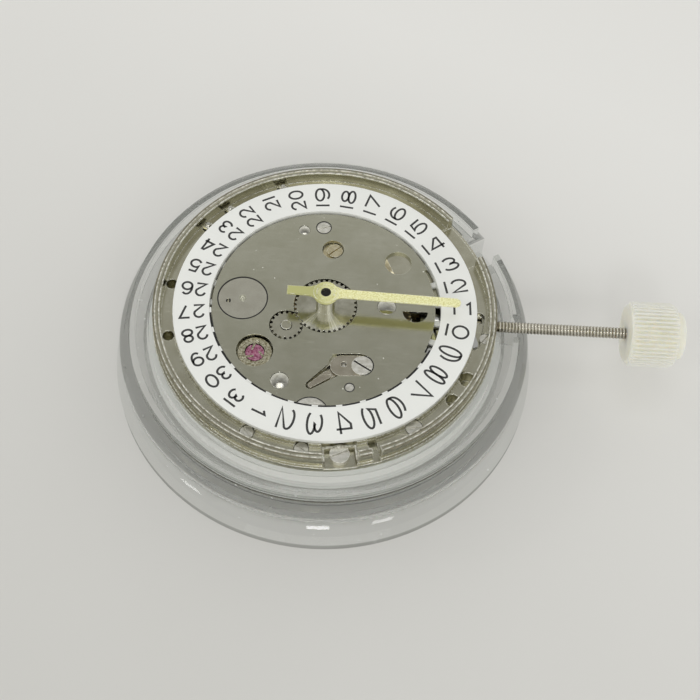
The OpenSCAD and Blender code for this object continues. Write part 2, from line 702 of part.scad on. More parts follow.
// Half-round window over the yoke's end
module guard_window() {
    translate([6.75, -0.15]) intersection() {
        circle(r = 0.95);
        translate([-0.95, -0.95]) square([1.9, 0.95]);
    }
}

// Pins, screws and the jumper's screw that stand flush in the guard plate
module dial_side_screws() {
    color([0.82, 0.82, 0.8]) {
        for (p = guard_pins) translate([p.x, p.y, guard_z]) cylinder(r = p[2], h = guard_t - 0.02);
        screw([guard_screw.x, guard_screw.y], guard_top_z - guard_screw_top, guard_screw[2],
            guard_t - guard_screw_top, 0.3, 0, 20);
        screw(date_screw_at, guard_z + 2 * keeper_t, date_screw_r, keeper_t, 0.3, keeper_t, -32);
        disc(0.15, 0.26, teeth_z - 0.06, jumper_at);
        screw(polar(cam_screw_dist, cam_screw_az), groove_z - 0.02, cam_screw_r, cam_screw_h, 0.3, 0, 25);
        for (s = rim_screws) screw(polar(s[1], s[0]), groove_z, s[2], rim_screw_h, 0.2, 0, s[0] + 60);
        translate([0, 0, guard_z]) linear_extrude(guard_t - 0.02) intersection() {
            circle(r = guard_r);
            translate(lens_at) circle(r = lens_r);
        }
    }
}

// Keeper plate over the jumper's pivot
module jumper_keeper() {
    a = keeper_a + [0.1, 0];
    r = keeper_r - 0.07;
    color([0.72, 0.66, 0.6]) difference() {
        union() {
            disc(r, keeper_t, guard_z, a);
            disc(r, keeper_t, guard_z, keeper_b);
            translate([a.x, a.y, guard_z]) rotate(heading(a, keeper_b)) translate([0, -r, 0])
                cube([norm(keeper_b - a), 2 * r, keeper_t]);
        }
        disc(0.3, 1, guard_z - 0.5, date_screw_at);
        disc(0.22, 1, guard_z - 0.5, jumper_at);
    }
}

// Brass eccentric: a flange down in the plate and, off its centre, the head with a slot
eccentric_head_r = 0.6;
eccentric_offset = [0.14, -0.06];
module date_eccentric() {
    top = guard_top_z - 0.06;
    color([0.78, 0.62, 0.4]) {
        disc(eccentric_r, 0.2, top - eccentric_h, eccentric_at);
        screw(eccentric_at + eccentric_offset, top, eccentric_head_r, eccentric_h, 0.3, 0, 43);
    }
}

// Date ring: a flat face, a step down and the inner teeth
ring_step_r = 9.15;
module date_ring() {
    pitch = 360 / ring_days;
    color([0.93, 0.93, 0.91]) {
        rotate_extrude($fn = 128) polygon([
            [ring_in_r, teeth_z], [ring_step_r, teeth_z], [ring_step_r, ring_z - ring_t],
            [ring_r, ring_z - ring_t], [ring_r, ring_z], [ring_in_r, ring_z]
        ]);
        for (i = [0 : ring_days - 1]) rotate((i + 0.5) * pitch) translate([0, 0, teeth_z])
            linear_extrude(teeth_t) polygon([
                polar(ring_in_r + cut, -0.14 * pitch), polar(teeth_tip_r, -0.12 * pitch),
                polar(teeth_tip_r, 0.12 * pitch), polar(ring_in_r + cut, 0.14 * pitch)
            ]);
    }
}

// Date jumper: a lever on its pivot with a beak that faces a gap between the ring's teeth
beak_r = 0.16;
beak_at = polar(teeth_tip_r - idle_gap - beak_r, 23 * 360 / ring_days);
module jumper_room() {
    link_outline(jumper_at, 0.65, jumper_tip_at, 0.45);
    link_outline(jumper_tip_at, 0.45, beak_at * 1.06, 0.42);
}

module date_jumper() {
    color([0.72, 0.66, 0.6]) difference() {
        union() {
            link_bar(jumper_at, 0.45, jumper_tip_at, 0.2, 0.24, teeth_z);
            link_bar(jumper_elbow_at, 0.32, jumper_tip_at, 0.2, 0.48, teeth_z);
            link_bar(jumper_tip_at, 0.2, beak_at, beak_r, 0.2, teeth_z);
        }
        disc(0.15 + bore_gap, 1, teeth_z - cut, jumper_at);
    }
}

// Date driving wheel: a gear, the finger and the disc that fills the guard plate's hole
module date_driving_wheel() {
    color([0.6, 0.59, 0.55]) difference() {
        union() {
            gear(driver_teeth, date_module, motion_wheel_t, date_gear_z, driver_at, driver_phase);
            disc(0.8, guard_top_z - 0.02 - date_gear_z, date_gear_z, driver_at);
            disc(driver_disc_r, guard_t + 0.05, guard_z - 0.07, driver_at);
            link_bar(driver_at, 0.5, driver_at + polar(driver_finger, 60), 0.16, 0.16, teeth_z);
        }
        disc(driver_bore_r, 1, date_gear_z - cut, driver_at);
        disc(0.16, 1, guard_z, driver_at - [1.05, 0.29]);
    }
}
driver_finger = teeth_tip_r - driver_dist - idle_gap - 0.16;

module intermediate_date_wheel() {
    color([0.78, 0.66, 0.42])
        gear(date_idler_teeth, date_module, motion_wheel_t, date_gear_z, date_idler_at,
            date_idler_phase, idler_pin_r + bore_gap, 0.6, 4);
}

// Hour wheel: hub gear, face gear level with the guard plate, and the pipe
module hour_wheel() {
    pipe_top = ring_z + hour_pipe_rise;
    color([0.8, 0.78, 0.7]) difference() {
        union() {
            gear(hour_hub_teeth, date_module, motion_wheel_t, date_gear_z, centre);
            disc(0.85, hour_gear_z - date_gear_z, date_gear_z, centre);
            face_gear(hour_teeth, centre, hour_phase);
            disc(hour_pipe_r, pipe_top - hour_gear_z, hour_gear_z, centre);
        }
        disc(cannon_r + bore_gap, 4, date_gear_z - cut, centre);
    }
}

// Minute wheel with its pinion on a stud
module minute_wheel() {
    color([0.78, 0.66, 0.42]) difference() {
        union() {
            gear(minute_teeth, motion_module, motion_wheel_t, minute_gear_z, minute_at, minute_phase,
                0, 0.75, 4);
            disc(0.6, hour_gear_z - minute_gear_z, minute_gear_z, minute_at);
            face_gear(minute_pinion_teeth, minute_at, 0);
        }
        disc(minute_stud_r + bore_gap, 2, minute_gear_z - cut, minute_at);
    }
}

// Cannon pinion: teeth below and a tube that carries the hand
hand_z = ring_z + hand_rise;
module cannon_pinion() {
    color([0.78, 0.76, 0.7]) difference() {
        union() {
            gear(cannon_teeth, motion_module, date_gear_z - 0.04 - minute_gear_z, minute_gear_z, centre);
            disc(cannon_r, hand_z - 0.02 - date_gear_z + 0.04, date_gear_z - 0.04, centre);
        }
        disc(tube_r + bore_gap, 4, minute_gear_z - cut, centre);
        disc(cannon_bore_r, 4, guard_z, centre);
    }
}

// Baton hand with a round hub on the cannon pinion
module minute_hand() {
    bottom = hand_z - hand_t;
    color([0.8, 0.74, 0.45]) rotate(hand_az) difference() {
        union() {
            disc(hand_hub_r, hand_t + 0.14, bottom - 0.14, centre);
            translate([-hand_tail, -hand_w / 2, bottom]) cube([hand_tail + hand_len - 0.25, hand_w, hand_t]);
            translate([hand_len - 0.25, 0, bottom]) linear_extrude(hand_t)
                polygon([[0, -hand_w / 2], [0.15, -hand_w / 2], [0.25, -hand_w / 4],
                    [0.25, hand_w / 4], [0.15, hand_w / 2], [0, hand_w / 2]]);
        }
        disc(cannon_r, 1, bottom - 0.4, centre);
    }
}

// Setting wheels between the sliding pinion and the minute wheel
module setting_wheel() {
    color([0.78, 0.66, 0.42])
        gear(setting_teeth, motion_module, motion_wheel_t, minute_gear_z, setting_at, setting_phase,
            stud_r + bore_gap, 0.6, 4);
}

module intermediate_setting_wheel() {
    color([0.78, 0.66, 0.42])
        gear(idler_teeth, motion_module, motion_wheel_t, minute_gear_z, idler_at, idler_phase,
            stud_r + bore_gap, 0.6, 4);
}

// Setting lever: a bent lever whose pin reaches down into the stem's groove
lever_pin_r = 0.17;
pivot_hole_r = 0.2;
module setting_lever() {
    pin_z = stem_z + 0.3;
    color([0.7, 0.7, 0.7]) difference() {
        union() {
            link_bar(lever_at, 0.45, lever_pin_at, 0.32, lever_t, lever_z);
            link_bar(lever_at, 0.45, lever_tail_at, 0.3, lever_t, lever_z);
            disc(lever_pin_r, lever_z + lever_t - pin_z, pin_z, lever_pin_at);
        }
        disc(pivot_hole_r, 1, lever_z - cut, lever_at);
    }
}

// Yoke: a lever whose end reaches into the sliding pinion's groove
sliding_x = 7.25;
sliding_len = 1.65;
sliding_groove_x = yoke_end_at.x;
module yoke() {
    pin_z = stem_z + 0.1;
    color([0.7, 0.7, 0.7]) difference() {
        union() {
            link_bar(yoke_at, 0.5, yoke_end_at, 0.14, lever_t, lever_z);
            link_bar(yoke_at, 0.4, yoke_tail_at, 0.16, lever_t, lever_z);
            disc(0.12, lever_z + lever_t - pin_z, pin_z, yoke_end_at);
        }
        disc(pivot_hole_r, 1, lever_z - cut, yoke_at);
    }
}

// Spring plate over the setting lever and the yoke, with the pins that they turn on
module setting_lever_spring() {
    z = lever_z + lever_t + 0.04;
    color([0.7, 0.7, 0.7]) {
        link_bar(lever_at, 0.42, yoke_at, 0.5, spring_plate_t, z);
        link_bar(yoke_at, 0.5, spring_tip_at, 0.2, spring_plate_t, z);
        for (at = [lever_at, yoke_at])
            disc(pivot_hole_r - bore_gap, z + cut - lever_floor_z, lever_floor_z, at);
    }
}

// Stem along X: pivot, square, round seat, groove, shoulder and the thread
module winding_stem() {
    thread_x = flange_r + 0.2;
    turns = floor((stem_end - thread_x) / thread_pitch);
    thread = [for (i = [0 : turns - 1], p = [[0, 0.07], [0.5, 0]])
        [stem_r - p[1], thread_x + (i + p[0]) * thread_pitch]];
    color([0.7, 0.69, 0.66]) translate([0, 0, stem_z]) rotate([0, 90, 0]) {
        translate([-0.28, -0.28, 6.95]) cube([0.56, 0.56, 2.3]);
        translate([0, 0, 6.1]) cylinder(r = 0.22, h = 0.9);
        rotate_extrude() polygon(concat(
            [[0, 9.2], [0.38, 9.2], [0.38, groove_x - 0.28], [0.24, groove_x - 0.28],
                [0.24, groove_x + 0.28], [stem_r, groove_x + 0.28]],
            thread, [[stem_r - 0.07, stem_end], [0, stem_end]]));
    }
}

// Ridged crown on the stem's end, with a step at its face
crown_x = stem_end - 0.6;
module crown() {
    ridge_m = 2 * crown_r / (crown_ridges + 1.8);
    color([0.93, 0.92, 0.88]) translate([crown_x, 0, stem_z]) rotate([0, 90, 0]) difference() {
        intersection() {
            linear_extrude(crown_len) polygon([
                for (i = [0 : crown_ridges - 1], p = [[-0.3, -1], [-0.15, 0.9], [0.15, 0.9], [0.3, -1]])
                    polar((crown_ridges / 2 + p[1]) * ridge_m, (i + p[0]) * 360 / crown_ridges)
            ]);
            rotate_extrude() polygon([
                [0, 0], [crown_r - 0.3, 0], [crown_r, 0.3], [crown_r, 0.76 * crown_len],
                [crown_r - 0.2, 0.84 * crown_len], [0.76 * crown_r, 0.86 * crown_len],
                [0.72 * crown_r, 0.97 * crown_len], [0.64 * crown_r, crown_len], [0, crown_len]
            ]);
        }
        translate([0, 0, -cut]) cylinder(r = stem_r, h = stem_end - crown_x + 0.1);
    }
}

// A gear whose axis lies along X, starting at x
module gear_x(teeth, m, h, x) {
    translate([x, 0, stem_z]) rotate([0, 90, 0]) linear_extrude(h) polygon(gear_points(teeth, m, 0));
}

// Winding pinion, free on the stem's round seat
module winding_pinion() {
    color([0.7, 0.69, 0.66]) difference() {
        union() {
            gear_x(winding_pinion_teeth, winding_module, 0.5, winding_x - 0.25);
            translate([winding_x - 0.35, 0, stem_z]) rotate([0, 90, 0]) cylinder(r = 0.78, h = 0.3);
        }
        translate([winding_x - 1, 0, stem_z]) rotate([0, 90, 0]) cylinder(r = 0.43, h = 2);
    }
}

// Sliding pinion on the stem's square, with a groove for the yoke
module sliding_pinion() {
    color([0.7, 0.69, 0.66]) difference() {
        union() {
            gear_x(12, 2 * sliding_r / 13.8, 0.35, sliding_x);
            translate([sliding_x + 0.3, 0, stem_z]) rotate([0, 90, 0])
                cylinder(r = sliding_r - 0.1, h = sliding_len - 0.3);
        }
        translate([sliding_groove_x - 0.18, 0, stem_z]) rotate([0, 90, 0]) difference() {
            cylinder(r = sliding_r + cut, h = 0.36);
            cylinder(r = 0.5, h = 0.36);
        }
        translate([sliding_x - cut, -0.33, stem_z - 0.33]) cube([sliding_len + 2 * cut, 0.66, 0.66]);
    }
}

// Crown wheel: spur teeth below for the ratchet wheel and face teeth above for the winding pinion
core_r = 0.9;
module crown_wheel() {
    outer = (crown_wheel_teeth / 2 - tooth_root) * winding_module + 0.2;
    face_z = stem_z - winding_pinion_teeth * winding_module / 2 - 0.1;
    rim_z = layer_a_z + auto_wheel_t + end_gap;
    color([0.75, 0.74, 0.7]) {
        difference() {
            union() {
                gear(crown_wheel_teeth, winding_module, auto_wheel_t, layer_a_z, crown_wheel_at);
                disc(outer - 0.2, face_z - 0.12 - layer_a_z, layer_a_z, crown_wheel_at);
                disc(outer, face_z - 0.12 - rim_z, rim_z, crown_wheel_at);
            }
            disc(core_r + bore_gap, 2, layer_a_z - cut, crown_wheel_at);
        }
        for (i = [0 : crown_wheel_teeth - 1]) translate([crown_wheel_dist, 0, face_z - 0.15])
            rotate(crown_contrate_phase + i * 360 / crown_wheel_teeth)
                translate([outer - 0.42, -0.065, 0]) cube([0.38, 0.13, 0.22]);
    }
}

// Bridge under the crown wheel, with the core that the wheel turns on
core_bridge_t = 0.2;
module crown_wheel_bridge() {
    z = layer_a_z - end_gap - core_bridge_t;
    reach = crown_room_r + 0.47;
    color([0.74, 0.73, 0.69]) {
        disc(core_r, stem_z - 1.05 - z, z, crown_wheel_at);
        for (leg = [[20, bridge_z], [-45, seat_low_z]]) {
            at = crown_wheel_at + polar(reach, leg[0]);
            link_bar(crown_wheel_at, 1.1, at, 0.45, core_bridge_t, z);
            disc(0.45, leg[1] - z, z, at);
        }
    }
}

// Ratchet wheel on the barrel arbor's square
square_w = 0.9;
module ratchet_wheel() {
    color([0.78, 0.77, 0.73]) difference() {
        gear(ratchet_teeth, winding_module, auto_wheel_t, layer_a_z, barrel_at, ratchet_phase);
        translate([barrel_at.x - square_w / 2 - 0.02, barrel_at.y - square_w / 2 - 0.02, layer_a_z - cut])
            cube([square_w + 0.04, square_w + 0.04, 1]);
    }
}

// Click: a pawl that stands just off the ratchet wheel's teeth
click_at = barrel_at + polar(ratchet_tip_r + 1.15, 12);
module click() {
    tip = barrel_at + polar(ratchet_tip_r + idle_gap + 0.12, 26);
    color([0.7, 0.7, 0.7]) difference() {
        union() {
            link_bar(click_at, 0.5, tip, 0.12, auto_wheel_t, layer_a_z);
            link_bar(click_at, 0.5, click_at + polar(1.1, -60), 0.15, auto_wheel_t, layer_a_z);
        }
        disc(pivot_hole_r, 1, layer_a_z - cut, click_at);
    }
}

// Barrel: a drum with teeth round its top, a cover below, the arbor and the spring inside
drum_r = (barrel_teeth / 2 - tooth_root) * barrel_module - 0.08;
drum_wall = 0.22;
cover_t = 0.12;
barrel_top_z = web_z - end_gap;
arbor_r = 0.9;
module barrel_drum() {
    roof_t = 0.14;
    inside_h = barrel_top_z - roof_t - barrel_z;
    color([0.78, 0.66, 0.42]) difference() {
        union() {
            disc(drum_r, barrel_top_z - barrel_z, barrel_z, barrel_at);
            gear(barrel_teeth, barrel_module, 0.26, barrel_top_z - 0.28, barrel_at);
        }
        disc(drum_r - drum_wall, inside_h + 1, barrel_z - 1, barrel_at);
        disc(0.5 + bore_gap, 1, barrel_top_z - 0.5, barrel_at);
    }
}

module barrel_cover() {
    color([0.78, 0.66, 0.42])
        ring(drum_r - drum_wall, 0.5 + bore_gap, cover_t, barrel_z, barrel_at);
}

// Arbor with its square below for the ratchet wheel and the screw that holds it
module barrel_arbor() {
    inside_z = barrel_z + cover_t + 0.03;
    inside_h = barrel_top_z - 0.14 - 0.03 - inside_z;
    color([0.75, 0.74, 0.7]) {
        disc(arbor_r, inside_h, inside_z, barrel_at);
        disc(0.5, web_z + 0.2 - bridge_z + 0.04, bridge_z - 0.04, barrel_at);
        translate([barrel_at.x - square_w / 2, barrel_at.y - square_w / 2, layer_a_z])
            cube([square_w, square_w, bridge_z - 0.04 - layer_a_z]);
        low_screw(barrel_at, layer_a_z - 0.14, 1.1, 0.14, 0.3, 0, 20);
    }
}

// Mainspring: one strip wound in even turns from the arbor to the drum's wall
mainspring_in_r = arbor_r + mainspring_t / 2 + 0.03;
mainspring_pitch = (drum_r - drum_wall - 0.03 - mainspring_t / 2 - mainspring_in_r) / mainspring_turns;
module mainspring() {
    h = barrel_top_z - 0.14 - 0.06 - (barrel_z + cover_t + 0.06);
    color([0.6, 0.62, 0.66]) spiral_strip(mainspring_in_r, mainspring_pitch, mainspring_turns,
        mainspring_t, h, barrel_z + cover_t + 0.06, barrel_at, 0);
    echo(least_gap_of_mainspring = mainspring_pitch - mainspring_t);
}

// Centre wheel: a hollow arbor with the pinion that the barrel drives
tube_r = 0.24;
tube_bore_r = 0.16;
seconds_r = 0.11;
module centre_wheel() {
    color([0.78, 0.66, 0.42]) difference() {
        union() {
            gear(train_teeth, train_module, train_wheel_t, centre_wheel_z, centre, 0, 0, 0.7, 4);
            gear(centre_pinion_teeth, barrel_module, barrel_top_z - centre_wheel_z - 0.2,
                centre_wheel_z + 0.2, centre, centre_pinion_phase);
            disc(0.55, 0.3, centre_wheel_z, centre);
            disc(tube_r, ring_z + 0.4 - centre_wheel_z, centre_wheel_z, centre);
        }
        disc(tube_bore_r, 5, centre_wheel_z - cut, centre);
    }
}

// Third wheel with its pinion and pivots
module third_wheel() {
    pinion_z = centre_wheel_z - 0.04;
    color([0.78, 0.66, 0.42]) {
        gear(third_teeth, third_module, train_wheel_t, third_wheel_z, third_at, 0, 0, 0.6, 4);
        gear(train_leaves, train_module, train_wheel_t + 0.2, pinion_z, third_at, third_pinion_phase);
        disc(0.2, pinion_z - third_wheel_z, third_wheel_z, third_at);
        disc(pivot_r, web_z + 0.22 - bridge_z - 0.1, bridge_z + 0.1, third_at);
    }
}
pivot_r = 0.1;

// Seconds wheel: its arbor runs up through the centre wheel
module seconds_wheel() {
    color([0.78, 0.66, 0.42]) {
        gear(train_teeth, train_module, train_wheel_t, seconds_wheel_z, centre, 0, 0, 0.6, 4);
        gear(train_leaves, third_module, third_wheel_z + train_wheel_t - seconds_wheel_z,
            seconds_wheel_z, centre, seconds_pinion_phase);
        disc(seconds_r, ring_z + 0.5 - bridge_z - 0.1, bridge_z + 0.1, centre);
    }
}

// Escape wheel: pointed teeth, a small pinion and pivots
module escape_wheel() {
    color([0.8, 0.79, 0.75]) {
        translate([escape_at.x, escape_at.y, escape_z]) difference() {
            linear_extrude(escape_t) polygon([
                for (i = [0 : escape_teeth - 1], p = [[0, 1], [0.06, 1], [0.3, 0.78], [0.82, 0.78]])
                    polar(escape_r * p[1], (i + p[0]) * 360 / escape_teeth)
            ]);
            for (i = [0 : 3]) rotate(i * 90 + 45) translate([0.62 * escape_r * 0.9, 0, -cut])
                cylinder(r = 0.2 * escape_r, h = escape_t + 2 * cut);
        }
        gear(escape_leaves, train_module, 0.2, seconds_wheel_z - 0.02, escape_at, escape_pinion_phase);
        disc(pivot_r, web_z + 0.22 - bridge_z - 0.1, bridge_z + 0.1, escape_at);
    }
}

// Pallet fork: two arms to the escape wheel and a lever to the balance's roller
fork_reach = norm(balance_at - pallet_at) - 0.78;
stone_r = escape_r + 0.15;
stone_len = 0.36;
stone_half_angle = 30;
module pallet_fork() {
    tail = pallet_at + polar(fork_reach, pallet_heading);
    color([0.75, 0.75, 0.75]) {
        difference() {
            union() {
                link_bar(pallet_at, 0.22, tail, 0.13, escape_t, escape_z);
                for (s = [-1, 1]) {
                    arm = polar(stone_r + 0.4, pallet_heading + s * stone_half_angle);
                    horn = polar(0.3, pallet_heading + s * 50);
                    link_bar(pallet_at, 0.2, escape_at + arm, 0.18, escape_t, escape_z);
                    link_bar(tail, 0.1, tail + horn, 0.06, escape_t, escape_z);
                }
            }
            pallet_stone_blocks();
        }
        disc(pivot_r, web_z + 0.22 - pallet_bridge_z - 0.04, pallet_bridge_z + 0.04, pallet_at);
    }
}

// Ruby stones set in the fork's arms, just outside the escape wheel's tips
module pallet_stone_blocks() {
    for (s = [-1, 1]) translate([escape_at.x, escape_at.y, escape_z])
        rotate(pallet_heading + s * stone_half_angle)
            translate([stone_r, -0.07, 0]) cube([stone_len, 0.14, escape_t]);
}

module pallet_stones() {
    color([0.75, 0.15, 0.3]) pallet_stone_blocks();
}

// Balance: rim, arms, roller with its ruby pin, and the staff
roller_r = 0.55;
impulse_r = 0.08;
staff_r = 0.08;
lower_jewel_z = bridge_z + 0.01;
module balance_wheel() {
    color([0.8, 0.68, 0.42]) {
        ring(balance_r, balance_r - balance_rim_w, balance_rim_h, balance_z, balance_at);
        translate([balance_at.x, balance_at.y, balance_z]) for (i = [0 : 2]) rotate(i * 120 + 15)
            translate([0, -0.2, 0]) cube([balance_r - balance_rim_w + 0.1, 0.4, 0.14]);
        disc(0.5, 0.24, balance_z - 0.1, balance_at);
        disc(roller_r, 0.14, pallet_bridge_z, balance_at);
        disc(0.17, pallet_bridge_z - balance_z, balance_z, balance_at);
        disc(impulse_r, escape_z + escape_t - pallet_bridge_z, pallet_bridge_z,
            balance_at + polar(0.4, balance_az));
        disc(staff_r, shock_z + 0.22 - lower_jewel_z - 0.16, lower_jewel_z + 0.16, balance_at);
        disc(hairspring_in_r - hairspring_t / 2, balance_z - hairspring_z, hairspring_z, balance_at);
    }
}

// Hairspring: one flat strip from the collet to its stud
module hairspring() {
    color([0.35, 0.4, 0.55]) spiral_strip(hairspring_in_r, hairspring_pitch, hairspring_turns,
        hairspring_t, hairspring_h, hairspring_z, balance_at, stud_az);
    echo(least_gap_of_hairspring = hairspring_pitch - hairspring_t);
}
stud_az = 100;
stud_dist = hairspring_in_r + hairspring_pitch * hairspring_turns + hairspring_t / 2 + 0.15;
hairspring_stud_at = balance_at + polar(stud_dist, stud_az + hairspring_turns * 360);

// Regulator: an index round the jewel setting with a tail and two curb pins
regulator_az = 150;
regulator_ring_r = 1.45;
module regulator() {
    z = bridge_z - 0.2;
    color([0.78, 0.78, 0.74]) {
        ring(regulator_ring_r, lower_setting_r + 0.1, 0.14, z, balance_at);
        link_bar(balance_at + polar(1.4, regulator_az), 0.22, balance_at + polar(3.3, regulator_az),
            0.1, 0.14, z);
    }
}

// Jewel settings of the balance: one cup in the plate and one in the bridge
setting_r = 1.25;
shock_h = 0.5;
shock_in_r = 0.95;
lower_setting_r = 1.05;
lower_in_r = 0.72;
module shock_settings() {
    color([0.8, 0.7, 0.45]) {
        difference() {
            disc(setting_r, shock_h, shock_z, balance_at);
            disc(shock_in_r, shock_h, shock_z + 0.25, balance_at);
            disc(0.22, 1, shock_z - cut, balance_at);
        }
        difference() {
            disc(lower_setting_r, bridge_t + 0.1, bridge_z - 0.1, balance_at);
            disc(lower_in_r, 0.35, lower_jewel_z - 0.2, balance_at);
            disc(0.22, 1, bridge_z, balance_at);
        }
    }
}

module shock_jewels() {
    color([0.85, 0.2, 0.4]) {
        disc(0.69, 0.2, shock_z + 0.25, balance_at);
        disc(0.6, 0.14, lower_jewel_z + 0.01, balance_at);
    }
}

// Lyre springs over the balance's jewels
module lyre(outer, width, z) {
    ring(outer, outer - width, 0.05, z, balance_at);
    for (a = [90, 210, 330]) link_bar(balance_at + polar(outer - width / 2, a), 0.07,
        balance_at + polar(0.36 * outer, a + 38), 0.07, 0.05, z);
}

module shock_springs() {
    color([0.85, 0.72, 0.4]) {
        lyre(shock_in_r, 0.18, shock_z + 0.45);
        lyre(lower_in_r, 0.16, lower_jewel_z - 0.04);
    }
}

// Pressed jewels of the train, in the plate and in the bridges
jewel_r = 0.38;
auto_pivots = [reverser_a_at, reverser_b_at, reduction_at];
module jewel(at, z, h) {
    ring(jewel_r, pivot_r + bore_gap, h, z, at);
}

module train_jewels() {
    color([0.8, 0.2, 0.35]) {
        for (at = [third_at, escape_at, pallet_at]) jewel(at, web_z, web_t - 0.03);
        for (at = [third_at, escape_at]) jewel(at, bridge_z, bridge_t - 0.02);
        ring(jewel_r, seconds_r + bore_gap, bridge_t - 0.02, bridge_z, centre);
        jewel(pallet_at, pallet_bridge_z, pallet_bridge_t);
        for (at = auto_pivots) {
            jewel(at, bridge_z, bridge_t - 0.02);
            jewel(at, auto_bridge_z, auto_bridge_t);
        }
    }
}

// Bridges: outlines that share the round of the movement without touching
module bridge_plate(points) {
    translate([0, 0, bridge_z]) linear_extrude(bridge_t) intersection() {
        circle(r = bridge_r);
        polygon(points);
    }
}

barrel_bridge_screws = [[-8.4, 5.4], [-2.4, 9.6], [10.0, 3.1]];
train_bridge_screws = [[7.6, -6.2], [1.2, -9.7]];
balance_bridge_screws = [[-9.9, -1.2], [-3, -9.4]];
auto_legs = [[-7.9, 3.7], [0.6, 9.8], [3.3, -4.1]];
leg_r = 0.75;
screw_head_r = 0.7;
screw_head_h = 0.22;
module screw_holes(points, z) {
    for (p = points) {
        disc(screw_head_r + bore_gap, screw_head_h - 0.02 + 1, z - 1, p);
        disc(0.3 + bore_gap, 2, z - cut, p);
    }
}

module barrel_bridge() {
    color([0.74, 0.73, 0.69]) difference() {
        bridge_plate([[-3.9, 1.3], [1.4, 1.3], [4.6, 0.1], [13, 0.1], [13, 13], [-13, 13], [-13, 3.3]]);
        disc(crown_room_r, 2, bridge_z - 1, crown_wheel_at);
        disc(0.5 + bore_gap, 2, bridge_z - 1, barrel_at);
        for (at = auto_pivots) disc(jewel_r, 2, bridge_z - 1, at);
        screw_holes(barrel_bridge_screws, bridge_z);
    }
}

module train_bridge() {
    color([0.74, 0.73, 0.69]) difference() {
        bridge_plate([[-1.3, 0.9], [1.2, 0.9], [8.7, -4.9], [8.7, -8], [4, -12], [-0.4, -12], [-1.4, -8]]);
        for (at = [third_at, escape_at, centre]) disc(jewel_r, 2, bridge_z - 1, at);
        screw_holes(train_bridge_screws, bridge_z);
    }
}

module pallet_bridge() {
    legs = [for (s = [-1, 1]) pallet_at + polar(1.8, pallet_heading + s * 85)];
    color([0.74, 0.73, 0.69]) difference() {
        union() {
            for (p = legs) {
                link_bar(pallet_at, 0.6, p, 0.42, pallet_bridge_t, pallet_bridge_z);
                disc(0.42, web_z - pallet_bridge_z, pallet_bridge_z, p);
            }
        }
        disc(jewel_r, 1, pallet_bridge_z - cut, pallet_at);
    }
}

module balance_bridge() {
    color([0.74, 0.73, 0.69]) difference() {
        union() {
            link_bar(balance_bridge_screws[0], 1, balance_at, 1.6, bridge_t, bridge_z);
            link_bar(balance_bridge_screws[1], 1, balance_at, 1.6, bridge_t, bridge_z);
            link_bar(balance_at, 1, hairspring_stud_at, 0.25, bridge_t, bridge_z);
            disc(0.09, hairspring_z + hairspring_h - bridge_z, bridge_z, hairspring_stud_at);
        }
        disc(lower_setting_r, 2, bridge_z - 1, balance_at);
        screw_holes(balance_bridge_screws, bridge_z);
    }
}

// Screws of all bridges, with their heads sunk in
module bridge_screws() {
    color([0.82, 0.82, 0.8]) {
        for (p = concat(barrel_bridge_screws, train_bridge_screws, balance_bridge_screws))
            low_screw(p, bridge_z - 0.02, screw_head_r, screw_head_h, 0.3,
                bridge_t - screw_head_h, p.x * 20);
        for (p = auto_legs) low_screw(p, auto_bridge_z - 0.02, 0.55, 0.14, 0.25, 0, p.y * 30);
        low_screw(click_at, layer_a_z - end_gap - 0.14, 0.42, 0.14, pivot_hole_r - bore_gap,
            bridge_z - layer_a_z + end_gap, 10);
    }
}

// Automatic bridge: arms from the bearing to the wheels' pivots and three legs
module automatic_bridge() {
    color([0.74, 0.73, 0.69]) difference() {
        union() {
            link_bar(centre, bearing_r + 0.45, reverser_a_at, 1.2, auto_bridge_t, auto_bridge_z);
            link_bar(reverser_a_at, 1.2, reverser_b_at, 0.9, auto_bridge_t, auto_bridge_z);
            link_bar(reverser_b_at, 0.9, auto_legs[0], leg_r, auto_bridge_t, auto_bridge_z);
            link_bar(reverser_a_at, 1.2, reduction_at, 0.9, auto_bridge_t, auto_bridge_z);
            link_bar(reduction_at, 0.9, auto_legs[1], leg_r, auto_bridge_t, auto_bridge_z);
            link_bar(centre, bearing_r + 0.45, auto_legs[2], leg_r, auto_bridge_t, auto_bridge_z);
            for (p = auto_legs) disc(leg_r, bridge_z - auto_bridge_z, auto_bridge_z, p);
        }
        disc(bearing_r, 1, auto_bridge_z - cut, centre);
        for (at = auto_pivots) disc(jewel_r, 1, auto_bridge_z - cut, at);
        for (p = auto_legs) disc(0.55 + bore_gap, 0.12 + cut, auto_bridge_z - cut, p);
    }
}

// Ball bearing of the rotor: a race in the bridge and its balls
axle_r = 1;
ball_r = 0.18;
ball_gap = 0.03;
balls = 11;
module rotor_bearing() {
    color([0.8, 0.8, 0.82]) {
        ring(bearing_r, axle_r + 2 * (ball_r + ball_gap), auto_bridge_t, auto_bridge_z, centre);
        for (i = [0 : balls - 1]) rotate(i * 360 / balls)
            translate([axle_r + ball_gap + ball_r, 0, auto_bridge_z + auto_bridge_t / 2]) sphere(r = ball_r);
    }
}

